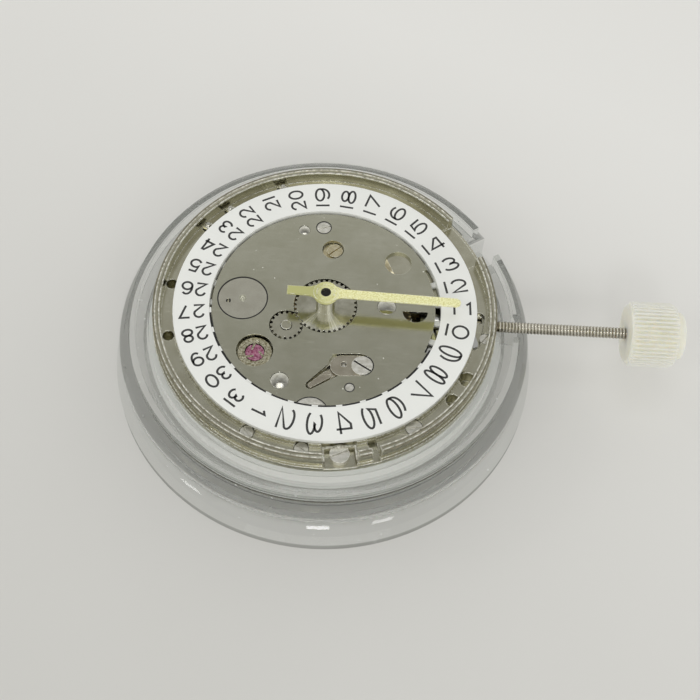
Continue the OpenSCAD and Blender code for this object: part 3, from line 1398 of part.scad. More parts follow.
// Rotor: a half disc on the axle, the heavy rim on top of it, and the pinion inside the works
rotor_az = 250;
module rotor_plate() {
    color([0.76, 0.75, 0.71]) rotate(rotor_az) {
        translate([0, 0, rotor_z]) linear_extrude(rotor_t) difference() {
            intersection() {
                circle(r = rotor_r - 0.1);
                translate([-2.6, -rotor_r]) square([2 * rotor_r, 2 * rotor_r]);
                union() {
                    polygon([[-1.6, -2.6], [0.5, -rotor_r], [2 * rotor_r, -rotor_r],
                        [2 * rotor_r, rotor_r], [0.5, rotor_r], [-1.6, 2.6]]);
                    circle(r = 2.6);
                }
            }
            for (s = [-1, 1]) rotate(s * 42) polygon([polar(4.2, -24), polar(9.6, -28), polar(9.6, -10),
                polar(10, 0), polar(9.6, 10), polar(9.6, 28), polar(4.2, 24)]);
        }
        disc(axle_r, layer_a_z - rotor_z, rotor_z, centre);
        disc(1.6, 0.2, rotor_z - 0.18, centre);
    }
}

module rotor_weight() {
    inner = rotor_r - rotor_weight_w;
    color([0.66, 0.66, 0.66]) rotate(rotor_az) translate([0, 0, rotor_z + rotor_t])
        linear_extrude(rotor_weight_h) difference() {
            circle(r = rotor_r);
            circle(r = inner);
            translate([0.9 - 3 * rotor_r, -2 * rotor_r]) square([3 * rotor_r, 4 * rotor_r]);
        }
}

module rotor_pinion() {
    color([0.78, 0.66, 0.42])
        gear(rotor_pinion_teeth, rotor_module, auto_wheel_t, layer_a_z, centre);
}

// Reversing wheels; the second one's pinion turns apart from its wheel
module reverser(at, phase) {
    gear(reverser_teeth, rotor_module, auto_wheel_t, layer_a_z, at, phase);
}

module reversing_wheel_a() {
    color([0.78, 0.66, 0.42]) {
        reverser(reverser_a_at, reverser_a_phase);
        gear(reverser_leaves, reduction_module, layer_a_z - layer_b_z, layer_b_z, reverser_a_at);
        disc(pivot_r, bridge_z + 0.3 - auto_bridge_z - 0.04, auto_bridge_z + 0.04, reverser_a_at);
    }
}

module reversing_wheel_b() {
    color([0.78, 0.66, 0.42]) {
        reverser(reverser_b_at, reverser_b_phase);
        disc(pivot_r, bridge_z + 0.3 - auto_bridge_z - 0.04, auto_bridge_z + 0.04, reverser_b_at);
    }
}

module reversing_pinion_b() {
    color([0.75, 0.74, 0.7]) gear(reverser_leaves, reduction_module, auto_wheel_t, layer_b_z, reverser_b_at,
        reverser_leaf_phase, pivot_r + bore_gap);
}

module reduction_wheel() {
    color([0.78, 0.66, 0.42]) {
        gear(reduction_teeth, reduction_module, auto_wheel_t, layer_b_z, reduction_at, reduction_phase,
            0, 0.9, 4);
        gear(reduction_leaves, winding_module, layer_a_z + auto_wheel_t - layer_b_z, layer_b_z,
            reduction_at);
        disc(pivot_r, bridge_z + 0.3 - auto_bridge_z - 0.04, auto_bridge_z + 0.04, reduction_at);
    }
}

movement_holder();
main_plate();
date_guard_plate();
dial_side_screws();
date_eccentric();
date_ring();
date_jumper();
jumper_keeper();
date_driving_wheel();
intermediate_date_wheel();
hour_wheel();
minute_wheel();
cannon_pinion();
minute_hand();
setting_wheel();
intermediate_setting_wheel();
setting_lever();
yoke();
setting_lever_spring();
winding_stem();
crown();
winding_pinion();
sliding_pinion();
crown_wheel();
crown_wheel_bridge();
ratchet_wheel();
click();
barrel_drum();
barrel_cover();
barrel_arbor();
mainspring();
centre_wheel();
third_wheel();
seconds_wheel();
escape_wheel();
pallet_fork();
pallet_stones();
balance_wheel();
hairspring();
regulator();
shock_settings();
shock_jewels();
shock_springs();
train_jewels();
barrel_bridge();
train_bridge();
pallet_bridge();
balance_bridge();
bridge_screws();
automatic_bridge();
rotor_bearing();
rotor_plate();
rotor_weight();
rotor_pinion();
reversing_wheel_a();
reversing_wheel_b();
reversing_pinion_b();
reduction_wheel();
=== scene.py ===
"""Looks of the automatic watch movement: finishes, printed dates, the gold hand, light and camera.

Lengths in this file are in millimetres where a name ends in _mm, and in metres in Blender's own data.
"""

import logging
import math
from dataclasses import dataclass
from enum import Enum

import bmesh
import bpy
from mathutils import Matrix, Vector


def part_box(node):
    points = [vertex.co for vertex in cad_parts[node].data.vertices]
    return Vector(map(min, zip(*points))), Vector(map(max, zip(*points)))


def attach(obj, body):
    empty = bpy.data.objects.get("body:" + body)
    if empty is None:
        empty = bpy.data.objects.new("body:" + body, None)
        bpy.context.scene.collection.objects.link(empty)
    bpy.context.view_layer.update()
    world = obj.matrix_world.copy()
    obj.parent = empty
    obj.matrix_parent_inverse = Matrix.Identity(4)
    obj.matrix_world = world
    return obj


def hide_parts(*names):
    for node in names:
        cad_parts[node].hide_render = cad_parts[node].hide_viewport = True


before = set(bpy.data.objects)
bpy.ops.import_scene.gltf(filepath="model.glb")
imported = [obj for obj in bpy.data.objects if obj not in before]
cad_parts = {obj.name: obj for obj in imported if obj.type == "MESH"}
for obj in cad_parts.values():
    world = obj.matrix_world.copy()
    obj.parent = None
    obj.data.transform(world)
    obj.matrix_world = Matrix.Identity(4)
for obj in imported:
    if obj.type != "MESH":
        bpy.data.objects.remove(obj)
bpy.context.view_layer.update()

LOG = logging.getLogger("movement")
MM = 0.001
IMAGE_PX = 700
SENSOR_MM = 36.0

Point = tuple[float, float]
Source = bpy.types.NodeSocket | bpy.types.Node


def linear(hex_colour: str, alpha: float = 1.0) -> tuple[float, float, float, float]:
    """Turns an sRGB hex colour to the linear colour that Blender wants.

    Args:
        hex_colour: Six hex digits after a number sign.
        alpha: Opacity, passed on as it is.

    Returns:
        Red, green, blue and alpha.
    """
    parts = [int(hex_colour[i:i + 2], 16) / 255 for i in (1, 3, 5)]
    red, green, blue = [c / 12.92 if c <= 0.04045 else ((c + 0.055) / 1.055) ** 2.4 for c in parts]
    return red, green, blue, alpha


def per_metre(size_mm: float) -> float:
    """Returns the texture scale that makes one repeat of a pattern size_mm long."""
    return 1 / (size_mm * MM)


def feed(tree: bpy.types.NodeTree, node: bpy.types.Node, links: dict[str | int, Source]) -> None:
    """Links sources to a node's inputs.

    Args:
        tree: The node tree.
        node: The node that is fed.
        links: What feeds each input, by its name or number. A node stands for its first output in use.
    """
    for key, source in links.items():
        if isinstance(source, bpy.types.Node):
            source = next(output for output in source.outputs if output.enabled)
        tree.links.new(source, node.inputs[key])


def add_node(
    tree: bpy.types.NodeTree,
    kind: str,
    settings: dict[str | int, object] | None = None,
    links: dict[str | int, Source] | None = None,
) -> bpy.types.Node:
    """Adds a node with its settings and links.

    Args:
        tree: The node tree that takes the node.
        kind: Blender's name of the node type, without the word ShaderNode.
        settings: Values by the name of a property, or by the name or number of an input.
        links: What feeds each input, as in feed.

    Returns:
        The new node.
    """
    node = tree.nodes.new("ShaderNode" + kind)
    for key, value in (settings or {}).items():
        if isinstance(key, str) and hasattr(node, key):
            setattr(node, key, value)
        else:
            node.inputs[key].default_value = value
    feed(tree, node, links or {})
    return node


def fill_stops(ramp: bpy.types.Node, stops: list[tuple[float, tuple[float, ...]]]) -> None:
    """Gives a ramp node its stops.

    Args:
        ramp: The ramp node, new and with two stops.
        stops: Position and colour of each stop, in order.
    """
    elements = ramp.color_ramp.elements
    for _ in stops[2:]:
        elements.new(0.5)
    for element, (position, colour) in zip(elements, stops):
        element.position = position
        element.color = colour


class Grain(Enum):
    """How a metal surface was made, as the stretch of its marks in millimetres along X, Y and Z."""

    SATIN = (0.5, 0.5, 0.5)
    BRUSHED = (2.5, 0.05, 0.5)
    CAST = (0.25, 0.25, 0.25)


@dataclass(frozen=True)
class Finish:
    """A surface finish: its name, its two tones and how it shines."""

    name: str
    colour: str
    shade: str
    roughness: float
    metallic: float = 0.0

    def material(self) -> bpy.types.Material:
        """Builds the material once and returns it."""
        found = bpy.data.materials.get(self.name)
        if found:
            return found
        material = bpy.data.materials.new(self.name)
        material.use_nodes = True
        material.diffuse_color = linear(self.colour)
        tree = material.node_tree
        shader = tree.nodes["Principled BSDF"]
        shader.inputs["Base Color"].default_value = linear(self.colour)
        shader.inputs["Roughness"].default_value = self.roughness
        shader.inputs["Metallic"].default_value = self.metallic
        place = add_node(tree, "TexCoord").outputs["Object"]
        self.dress(tree, shader, place)
        return material

    def dress(self, tree: bpy.types.NodeTree, shader: bpy.types.Node, place: Source) -> None:
        """Adds the finish's own patterns to the shader.

        Args:
            tree: The material's node tree.
            shader: Its Principled shader.
            place: Object coordinates in metres.
        """

    def tones(self, tree: bpy.types.NodeTree, place: Source, patch_mm: float, low: float, high: float) -> Source:
        """Blends the two tones in soft patches.

        Args:
            tree: The material's node tree.
            place: Coordinates in metres.
            patch_mm: Size of a patch.
            low: Noise value below which only the shade shows.
            high: Noise value above which only the colour shows.

        Returns:
            The colour.
        """
        noise = add_node(tree, "TexNoise", {"Scale": per_metre(patch_mm), "Detail": 4.0, "Roughness": 0.6},
                         {"Vector": place})
        ramp = add_node(tree, "ValToRGB", links={"Fac": noise})
        fill_stops(ramp, [(low, linear(self.shade)), (high, linear(self.colour))])
        return ramp


@dataclass(frozen=True)
class MetalFinish(Finish):
    """A metal with fine marks of its making, light scratches and softly rounded edges that carry a painted highlight,
    partly standing for rubbed metal.
    """

    metallic: float = 1.0
    grain: Grain = Grain.SATIN
    patch_mm: float = 3.0
    spread: float = 0.08
    depth: float = 0.15
    edge_mm: float = 0.03
    turned: float = 0.0
    # Strength and near-white tone of the painted edge highlight, which partly stands for rubbed metal
    wear: float = 0.5
    worn_tone: str = "#FBFAF2"
    speckle_mm: float = 0.18
    dust: float = 0.0
    dust_tone: str = "#E9E8DE"
    specks_mm: float = 1.1
    hair_mm: float = 1.4
    hairs: tuple[Point, ...] = ((0.7, 0.05), (-1.1, 0.04), (2.3, 0.06))
    scratch_az: float = 0.6
    scratch_mm: Point = (4.0, 0.06)

    def worn(self, tree: bpy.types.NodeTree, place: Source, soft: Source) -> Source:
        """Finds the edges that get a painted highlight, which partly stands for rubbed metal, broken up by a fine
        speckle.

        Args:
            tree: The material's node tree.
            place: Coordinates in metres.
            soft: The normal with its edges rounded.

        Returns:
            A factor of 1 where an edge gets the full painted highlight.
        """
        flat = add_node(tree, "NewGeometry").outputs["True Normal"]
        turn = add_node(tree, "VectorMath", {"operation": "DOT_PRODUCT"}, {0: flat, 1: soft})
        edge = add_node(tree, "MapRange", {"From Min": 0.99, "From Max": 0.9}, {"Value": turn})
        speckle = add_node(tree, "TexNoise", {"Scale": per_metre(self.speckle_mm), "Detail": 2.0},
                           {"Vector": place})
        broken = add_node(tree, "MapRange", {"From Min": 0.42, "From Max": 0.56, "To Max": self.wear},
                          {"Value": speckle})
        return add_node(tree, "Math", {"operation": "MULTIPLY"}, {0: edge, 1: broken})

    def dusty(self, tree: bpy.types.NodeTree, place: Source) -> Source:
        """Scatters small pale specks and hair scratches.

        Args:
            tree: The material's node tree.
            place: Coordinates in metres.

        Returns:
            A factor of 1 where a speck or a scratch lies.
        """
        dots = add_node(tree, "TexVoronoi", {"Scale": per_metre(self.specks_mm)}, {"Vector": place})
        dot = add_node(tree, "MapRange", {"From Min": 0.07, "From Max": 0.03, "To Max": self.dust}, {"Value": dots})
        hairs = []
        for angle, width in self.hairs:
            laid = add_node(tree, "Mapping",
                            {"Rotation": (0.0, 0.0, angle),
                             "Scale": (per_metre(self.hair_mm), per_metre(width), per_metre(1.0))},
                            {"Vector": place})
            hair = add_node(tree, "TexNoise", {"Scale": 1.0, "Detail": 1.0}, {"Vector": laid})
            faint = {"From Min": 0.64, "From Max": 0.74, "To Max": self.dust * 0.16}
            hairs.append(add_node(tree, "MapRange", faint, {"Value": hair}))
        for hair in hairs:
            dot = add_node(tree, "Math", {"operation": "MAXIMUM"}, {0: dot, 1: hair})
        return dot

    def base(self, tree: bpy.types.NodeTree, place: Source) -> Source:
        """Returns the colour before wear and dust."""
        return self.tones(tree, place, self.patch_mm, 0.35, 0.65)

    def dress(self, tree: bpy.types.NodeTree, shader: bpy.types.Node, place: Source) -> None:
        """Adds grain, scratches, tone patches, dust and softened edges with a painted highlight."""
        bevel = add_node(tree, "Bevel", {"samples": 4, "Radius": self.edge_mm * MM})
        # Painted highlight: edges turn near-white and less metallic, partly standing for rubbed metal
        shine = add_node(tree, "Mix", {"data_type": "RGBA", 7: linear(self.worn_tone)},
                         {0: self.worn(tree, place, bevel), 6: self.base(tree, place)})
        feed(tree, shader, {"Base Color": shine})
        matt = add_node(tree, "Math", {"operation": "MULTIPLY", 1: 0.6}, {0: shine.inputs[0].links[0].from_socket})
        kept = add_node(tree, "Math", {"operation": "SUBTRACT", 0: self.metallic}, {1: matt})
        feed(tree, shader, {"Metallic": kept})
        if self.dust:
            specks = self.dusty(tree, place)
            pale = add_node(tree, "Mix", {"data_type": "RGBA", 7: linear(self.dust_tone)}, {0: specks, 6: shine})
            feed(tree, shader, {"Base Color": pale})
            bare = add_node(tree, "Math", {"operation": "SUBTRACT", 0: self.metallic}, {1: specks})
            feed(tree, shader, {"Metallic": bare})
        if self.turned:
            shader.inputs["Anisotropic"].default_value = self.turned
            round_z = add_node(tree, "Tangent", {"direction_type": "RADIAL", "axis": "Z"})
            feed(tree, shader, {"Tangent": round_z})
        stretch = tuple(per_metre(size) for size in self.grain.value)
        mapped = add_node(tree, "Mapping", {"Scale": stretch}, {"Vector": place})
        grain = add_node(tree, "TexNoise", {"Scale": 1.0, "Detail": 5.0, "Roughness": 0.65}, {"Vector": mapped})
        turned = add_node(tree, "Mapping",
                          {"Rotation": (0.0, 0.0, self.scratch_az),
                           "Scale": (*(per_metre(size) for size in self.scratch_mm), per_metre(1.0))},
                          {"Vector": place})
        scratch = add_node(tree, "TexNoise", {"Scale": 1.0, "Detail": 2.0}, {"Vector": turned})
        rare = add_node(tree, "MapRange", {"From Min": 0.66, "From Max": 0.75}, {"Value": scratch})
        rough = add_node(tree, "MapRange",
                         {"To Min": self.roughness - self.spread, "To Max": self.roughness + self.spread},
                         {"Value": grain})
        feed(tree, shader, {"Roughness": rough})
        height = add_node(tree, "Math", {"operation": "SUBTRACT"}, {0: grain, 1: rare})
        bump = add_node(tree, "Bump", {"Strength": self.depth, "Distance": 0.01 * MM},
                        {"Height": height, "Normal": bevel})
        feed(tree, shader, {"Normal": bump})


@dataclass(frozen=True)
class ThreadFinish(MetalFinish):
    """Steel with painted shade in the roots of its thread, which lies along X."""

    axis_mm: Point = (0.0, 0.0)
    root_mm: float = 0.4
    crest_mm: float = 0.5
    oil: str = "#6A6252"

    def base(self, tree: bpy.types.NodeTree, place: Source) -> Source:
        """Paints shade on the metal, darker towards the thread's root."""
        parts = add_node(tree, "SeparateXYZ", links={"Vector": place})
        flat = add_node(tree, "CombineXYZ", links={"X": parts.outputs["Y"], "Y": parts.outputs["Z"]})
        from_axis = add_node(tree, "VectorMath",
                             {"operation": "DISTANCE", 1: (self.axis_mm[0] * MM, self.axis_mm[1] * MM, 0.0)},
                             {0: flat})
        crest = add_node(tree, "MapRange", {"From Min": self.root_mm * MM, "From Max": self.crest_mm * MM},
                         {"Value": from_axis})
        # Painted shade: the metal darkens towards the thread's roots
        return add_node(tree, "Mix", {"data_type": "RGBA", 6: linear(self.oil)},
                        {0: crest, 7: super().base(tree, place)})


@dataclass(frozen=True)
class HandFinish(MetalFinish):
    """Grained gold plating, with painted shade that deepens its tone towards the tail."""

    # Painted shade: the deeper, greener tone blended in from behind the hub towards the tail
    tail: str = "#BDBD7E"
    blend_mm: Point = (-0.9, 1.2)

    def base(self, tree: bpy.types.NodeTree, place: Source) -> Source:
        """Mixes bright and deep grains and blends a painted shade in behind the hub, deeper towards the tail."""
        parts = add_node(tree, "SeparateXYZ", links={"Vector": place})
        front = add_node(tree, "MapRange", {"From Min": self.blend_mm[0] * MM, "From Max": self.blend_mm[1] * MM},
                         {"Value": parts.outputs["X"]})
        return add_node(tree, "Mix", {"data_type": "RGBA", 6: linear(self.tail)},
                        {0: front, 7: self.tones(tree, place, self.patch_mm, 0.42, 0.58)})


@dataclass(frozen=True)
class SunrayFinish(MetalFinish):
    """Metal turned about the Z axis, with painted highlight sectors broken into fine rays."""

    rays: float = 60.0
    bare: float = 0.75
    glint: str = "#FFFEF2"
    wedges: tuple[Point, ...] = ((0.0, 0.0), (0.1, 0.1), (0.142, 0.85), (0.175, 0.3), (0.225, 0.2), (0.262, 0.2),
                                 (0.3, 1.0), (0.345, 0.75), (0.4, 0.1), (1.0, 0.0))

    def dress(self, tree: bpy.types.NodeTree, shader: bpy.types.Node, place: Source) -> None:
        """Paints the highlight sectors, broken into fine rays, on the metal."""
        super().dress(tree, shader, place)
        # Painted highlight: brighter, less metallic sectors by azimuth, broken into fine rays
        at = add_node(tree, "SeparateXYZ", links={"Vector": place}).outputs
        azimuth = add_node(tree, "Math", {"operation": "ARCTAN2"}, {0: at["Y"], 1: at["X"]})
        turn = add_node(tree, "MapRange", {"From Min": -math.pi, "From Max": math.pi}, {"Value": azimuth})
        ramp = add_node(tree, "ValToRGB", links={"Fac": turn})
        fill_stops(ramp, [(position, (bright, bright, bright, 1.0)) for position, bright in self.wedges])
        fine = add_node(tree, "TexNoise", {"noise_dimensions": "1D", "Scale": self.rays, "Detail": 3.0},
                        {"W": turn})
        spread = add_node(tree, "MapRange", {"From Min": 0.3, "From Max": 0.7, "To Min": 0.25, "To Max": 0.9},
                          {"Value": fine})
        glint = add_node(tree, "Math", {"operation": "MULTIPLY"}, {0: ramp, 1: spread})
        bare = add_node(tree, "Math", {"operation": "MULTIPLY_ADD", 1: -self.bare},
                        {0: glint, 2: shader.inputs["Metallic"].links[0].from_socket})
        feed(tree, shader, {"Metallic": bare})
        pale = add_node(tree, "Mix", {"data_type": "RGBA", 7: linear(self.glint)},
                        {0: glint, 6: shader.inputs["Base Color"].links[0].from_socket})
        feed(tree, shader, {"Base Color": pale})


@dataclass(frozen=True)
class LacquerFinish(Finish):
    """A smooth lacquer with a faint orange peel and a soft shading of tone."""

    patch_mm: float = 6.0
    peel_mm: float = 0.15
    edge_mm: float = 0.05

    def dress(self, tree: bpy.types.NodeTree, shader: bpy.types.Node, place: Source) -> None:
        """Adds the tone patches and the orange peel."""
        feed(tree, shader, {"Base Color": self.tones(tree, place, self.patch_mm, 0.3, 0.6)})
        peel = add_node(tree, "TexNoise", {"Scale": per_metre(self.peel_mm), "Detail": 2.0}, {"Vector": place})
        bevel = add_node(tree, "Bevel", {"samples": 4, "Radius": self.edge_mm * MM})
        bump = add_node(tree, "Bump", {"Strength": 0.08, "Distance": 0.005 * MM}, {"Height": peel, "Normal": bevel})
        feed(tree, shader, {"Normal": bump})


@dataclass(frozen=True)
class InkFinish(Finish):
    """Pad-printed ink, a little uneven in tone."""

    patch_mm: float = 0.2

    def dress(self, tree: bpy.types.NodeTree, shader: bpy.types.Node, place: Source) -> None:
        """Adds the uneven tone of the print."""
        feed(tree, shader, {"Base Color": self.tones(tree, place, self.patch_mm, 0.3, 0.7)})


@dataclass(frozen=True)
class PaperFinish(Finish):
    """Matt white paper with soft clouds, a fine tooth and painted shade that greys it towards the near left."""

    reach_mm: float = 30.0
    fall: tuple[float, float, float] = (0.35, 0.65, 0.0)
    cloud_mm: float = 25.0
    cloud: float = 0.12
    tooth_mm: float = 0.2

    def dress(self, tree: bpy.types.NodeTree, shader: bpy.types.Node, place: Source) -> None:
        """Adds the painted shade towards the near left, the clouds and the tooth."""
        # Painted shade: the paper greys from its colour to its shade towards the near left, with random clouds on top
        slope = add_node(tree, "VectorMath", {"operation": "DOT_PRODUCT", 1: self.fall}, {0: place})
        cloud = add_node(tree, "TexNoise", {"Scale": per_metre(self.cloud_mm), "Detail": 2.0}, {"Vector": place})
        level = add_node(tree, "MapRange", {"From Min": -self.reach_mm * MM, "From Max": self.reach_mm * MM},
                         {"Value": slope})
        mixed = add_node(tree, "Math", {"operation": "MULTIPLY_ADD", 1: self.cloud}, {0: cloud, 2: level})
        paper = add_node(tree, "Mix", {"data_type": "RGBA", 6: linear(self.shade), 7: linear(self.colour)},
                         {0: mixed})
        feed(tree, shader, {"Base Color": paper})
        tooth = add_node(tree, "TexNoise", {"Scale": per_metre(self.tooth_mm), "Detail": 2.0}, {"Vector": place})
        bump = add_node(tree, "Bump", {"Strength": 0.05, "Distance": 0.02 * MM}, {"Height": tooth})
        feed(tree, shader, {"Normal": bump})


@dataclass(frozen=True)
class ClearPlasticFinish(Finish):
    """Clear moulded plastic: glossy, with flow waves, fine dust and a matt bore where it grips the movement.

    room_mm and bore_mm give the radius that each matt part lies within and the height that it starts at.
    The greys by height are painted light: bands of painted shade and thin painted highlight lines; foot_mm gives how
    far the outer wall's normal leans up.
    """

    ior: float = 1.49
    clear: float = 0.93
    wall_r_mm: float = 15.2
    room_mm: Point = (14.1, 1.02)
    room_matt: float = 0.6
    foot_mm: tuple[Point, ...] = ((0.85, 0.97), (2.1, 0.86), (3.2, 0.79), (4.1, 0.0))
    bore_mm: Point = (13.6, 4.2)
    bore_tone: str = "#DADBD7"
    lip_mm: float = 6.15
    # Painted light by height: the dark bands are painted shade, the near-white lines painted highlights
    tones_mm: tuple[tuple[float, str], ...] = (
        (0.0, "#8E908C"), (0.6, "#A0A29E"), (0.8, "#F6F8F6"), (0.9, "#E4E6E4"), (2.2, "#E2E4E2"), (3.9, "#DCDEDB"),
        (4.12, "#F2F4F2"), (4.2, "#959794"), (4.51, "#8F918E"), (4.56, "#5C5E5B"), (4.7, "#8C8E8B"), (4.95, "#D6D8D5"),
        (5.9, "#DADCDA"), (6.08, "#A6A8A5"), (6.16, "#F2F4F2"), (6.3, "#E4E6E3"))
    dust_mm: float = 1.6
    dust_rough: float = 0.6
    wave_mm: float = 6.0
    level_part: float = 0.1
    round_part: float = 0.9

    def dress(self, tree: bpy.types.NodeTree, shader: bpy.types.Node, place: Source) -> None:
        """Makes the shader clear, with painted shade and highlight bands by height, dust and the waves of the
        moulding.
        """
        shader.inputs["IOR"].default_value = self.ior
        form = add_node(tree, "NewGeometry")
        flat = form.outputs["True Normal"]
        at = add_node(tree, "SeparateXYZ", links={"Vector": place}).outputs
        lean = add_node(tree, "SeparateXYZ", links={"Vector": flat}).outputs
        level = add_node(tree, "CombineXYZ", links={"X": at["X"], "Y": at["Y"]})
        far = add_node(tree, "VectorMath", {"operation": "LENGTH"}, {0: level})
        tall = add_node(tree, "Math", {"operation": "ABSOLUTE"}, {0: lean["Z"]})
        upright = add_node(tree, "Math", {"operation": "LESS_THAN", 1: self.level_part}, {0: tall})
        bore = self.bore(tree, at["Z"], far, upright)
        # Rays that leave the plastic go straight on, and lamps light what stands inside it
        ray = add_node(tree, "LightPath").outputs
        lit = add_node(tree, "Math", {"operation": "MAXIMUM"}, {0: ray["Is Shadow Ray"], 1: ray["Is Diffuse Ray"]})
        enters = add_node(tree, "Math", {"operation": "SUBTRACT", 0: 1.0}, {1: form.outputs["Backfacing"]})
        solid = add_node(tree, "Math", {"operation": "MAXIMUM"}, {0: enters, 1: bore})
        alpha = add_node(tree, "Mix", {"data_type": "FLOAT", 3: 1 - self.clear}, {0: lit, 2: solid})
        feed(tree, shader, {"Alpha": alpha})
        glass = add_node(tree, "Math", {"operation": "SUBTRACT", 0: 1.0}, {1: bore})
        feed(tree, shader, {"Transmission Weight": glass})
        # Painted light: the base colour is greyed or brightened by height
        body = add_node(tree, "Mix", {"data_type": "RGBA", 7: linear(self.bore_tone)},
                        {0: bore, 6: self.depth(tree, at["Z"])})
        feed(tree, shader, {"Base Color": body})
        dots = add_node(tree, "TexVoronoi", {"Scale": per_metre(self.dust_mm)}, {"Vector": place})
        dust = add_node(tree, "MapRange",
                        {"From Min": 0.075, "From Max": 0.045, "To Min": self.roughness, "To Max": self.dust_rough},
                        {"Value": dots})
        feed(tree, shader, {"Roughness": dust})
        exact = self.turned_normal(tree, flat, level, self.foot(tree, at["Z"], lean["Z"], far, upright))
        waves = add_node(tree, "TexNoise", {"Scale": per_metre(self.wave_mm), "Detail": 1.0}, {"Vector": place})
        bump = add_node(tree, "Bump", {"Strength": 0.05, "Distance": 0.15 * MM}, {"Height": waves, "Normal": exact})
        feed(tree, shader, {"Normal": bump})

    def bore(self, tree: bpy.types.NodeTree, height: Source, far: Source, upright: Source) -> Source:
        """Finds the matt inside: all of the bore and its land, and a part of the room's wall.

        Args:
            tree: The material's node tree.
            height: Height of the point in metres.
            far: Distance from the axis in metres.
            upright: 1 on an upright face.

        Returns:
            How matt the surface is, from 0 to 1.
        """
        under = add_node(tree, "Math", {"operation": "LESS_THAN", 1: self.lip_mm * MM}, {0: height})
        shares = []
        for (inner, low), share in ((self.bore_mm, 1.0), (self.room_mm, self.room_matt)):
            near = add_node(tree, "Math", {"operation": "LESS_THAN", 1: inner * MM}, {0: far})
            over = add_node(tree, "Math", {"operation": "GREATER_THAN", 1: low * MM}, {0: height})
            both = add_node(tree, "Math", {"operation": "MULTIPLY"}, {0: near, 1: over})
            shares.append(add_node(tree, "Math", {"operation": "MULTIPLY", 1: share}, {0: both}))
        wall = add_node(tree, "Math", {"operation": "MULTIPLY"}, {0: shares[1], 1: upright})
        most = add_node(tree, "Math", {"operation": "MAXIMUM"}, {0: shares[0], 1: wall})
        return add_node(tree, "Math", {"operation": "MULTIPLY"}, {0: most, 1: under})

    def depth(self, tree: bpy.types.NodeTree, height: Source) -> Source:
        """Returns the painted light at each height: bands of painted shade and lines of painted highlight."""
        top = self.tones_mm[-1][0]
        level = add_node(tree, "MapRange", {"From Max": top * MM}, {"Value": height})
        ramp = add_node(tree, "ValToRGB", links={"Fac": level})
        fill_stops(ramp, [(height_mm / top, linear(tone)) for height_mm, tone in self.tones_mm])
        return ramp

    def foot(self, tree: bpy.types.NodeTree, height: Source, lean: Source, far: Source, upright: Source) -> Source:
        """Leans the outer wall's normal upwards towards its foot.

        Args:
            tree: The material's node tree.
            height: Height of the point in metres.
            lean: The Z part of the face's normal.
            far: Distance from the axis in metres.
            upright: 1 on an upright face.

        Returns:
            The Z part of the softened normal.
        """
        top = self.foot_mm[-1][0]
        level = add_node(tree, "MapRange", {"From Max": top * MM}, {"Value": height})
        curve = add_node(tree, "ValToRGB", links={"Fac": level})
        fill_stops(curve, [(height_mm / top, (tilt, tilt, tilt, 1.0)) for height_mm, tilt in self.foot_mm])
        outer = add_node(tree, "Math", {"operation": "GREATER_THAN", 1: self.wall_r_mm * MM}, {0: far})
        wall = add_node(tree, "Math", {"operation": "MULTIPLY"}, {0: outer, 1: upright})
        return add_node(tree, "Math", {"operation": "MULTIPLY_ADD"}, {0: curve, 1: wall, 2: lean})

    def turned_normal(self, tree: bpy.types.NodeTree, flat: Source, level: Source, rise: Source) -> Source:
        """Gives the turned faces the exact normal of their circle, and leaves the cut ones as they are.

        Args:
            tree: The material's node tree.
            flat: The face's own normal.
            level: The point's place without its height.
            rise: The Z part that the normal is to have.

        Returns:
            The normal.
        """
        away = add_node(tree, "VectorMath", {"operation": "NORMALIZE"}, {0: level})
        along = add_node(tree, "VectorMath", {"operation": "DOT_PRODUCT"}, {0: away, 1: flat})
        square = add_node(tree, "Math", {"operation": "MULTIPLY"}, {0: rise, 1: rise})
        left = add_node(tree, "Math", {"operation": "SUBTRACT", 0: 1.0, "use_clamp": True}, {1: square})
        reach = add_node(tree, "Math", {"operation": "SQRT"}, {0: left})
        sign = add_node(tree, "Math", {"operation": "SIGN"}, {0: along})
        side = add_node(tree, "Math", {"operation": "MULTIPLY"}, {0: reach, 1: sign})
        flung = add_node(tree, "VectorMath", {"operation": "SCALE"}, {0: away, "Scale": side})
        up = add_node(tree, "CombineXYZ", links={"Z": rise})
        exact = add_node(tree, "VectorMath", {"operation": "ADD"}, {0: flung, 1: up})
        # A cut face's normal doesn't lie in the plane through the axis
        parts = add_node(tree, "SeparateXYZ", links={"Vector": flat})
        sunk = add_node(tree, "CombineXYZ", links={"X": parts.outputs["X"], "Y": parts.outputs["Y"]})
        size = add_node(tree, "VectorMath", {"operation": "LENGTH"}, {0: sunk})
        share = add_node(tree, "Math", {"operation": "DIVIDE"}, {0: along, 1: size})
        sure = add_node(tree, "Math", {"operation": "ABSOLUTE"}, {0: share})
        turned = add_node(tree, "Math", {"operation": "GREATER_THAN", 1: self.round_part}, {0: sure})
        return add_node(tree, "Mix", {"data_type": "VECTOR"}, {0: turned, 4: flat, 5: exact})


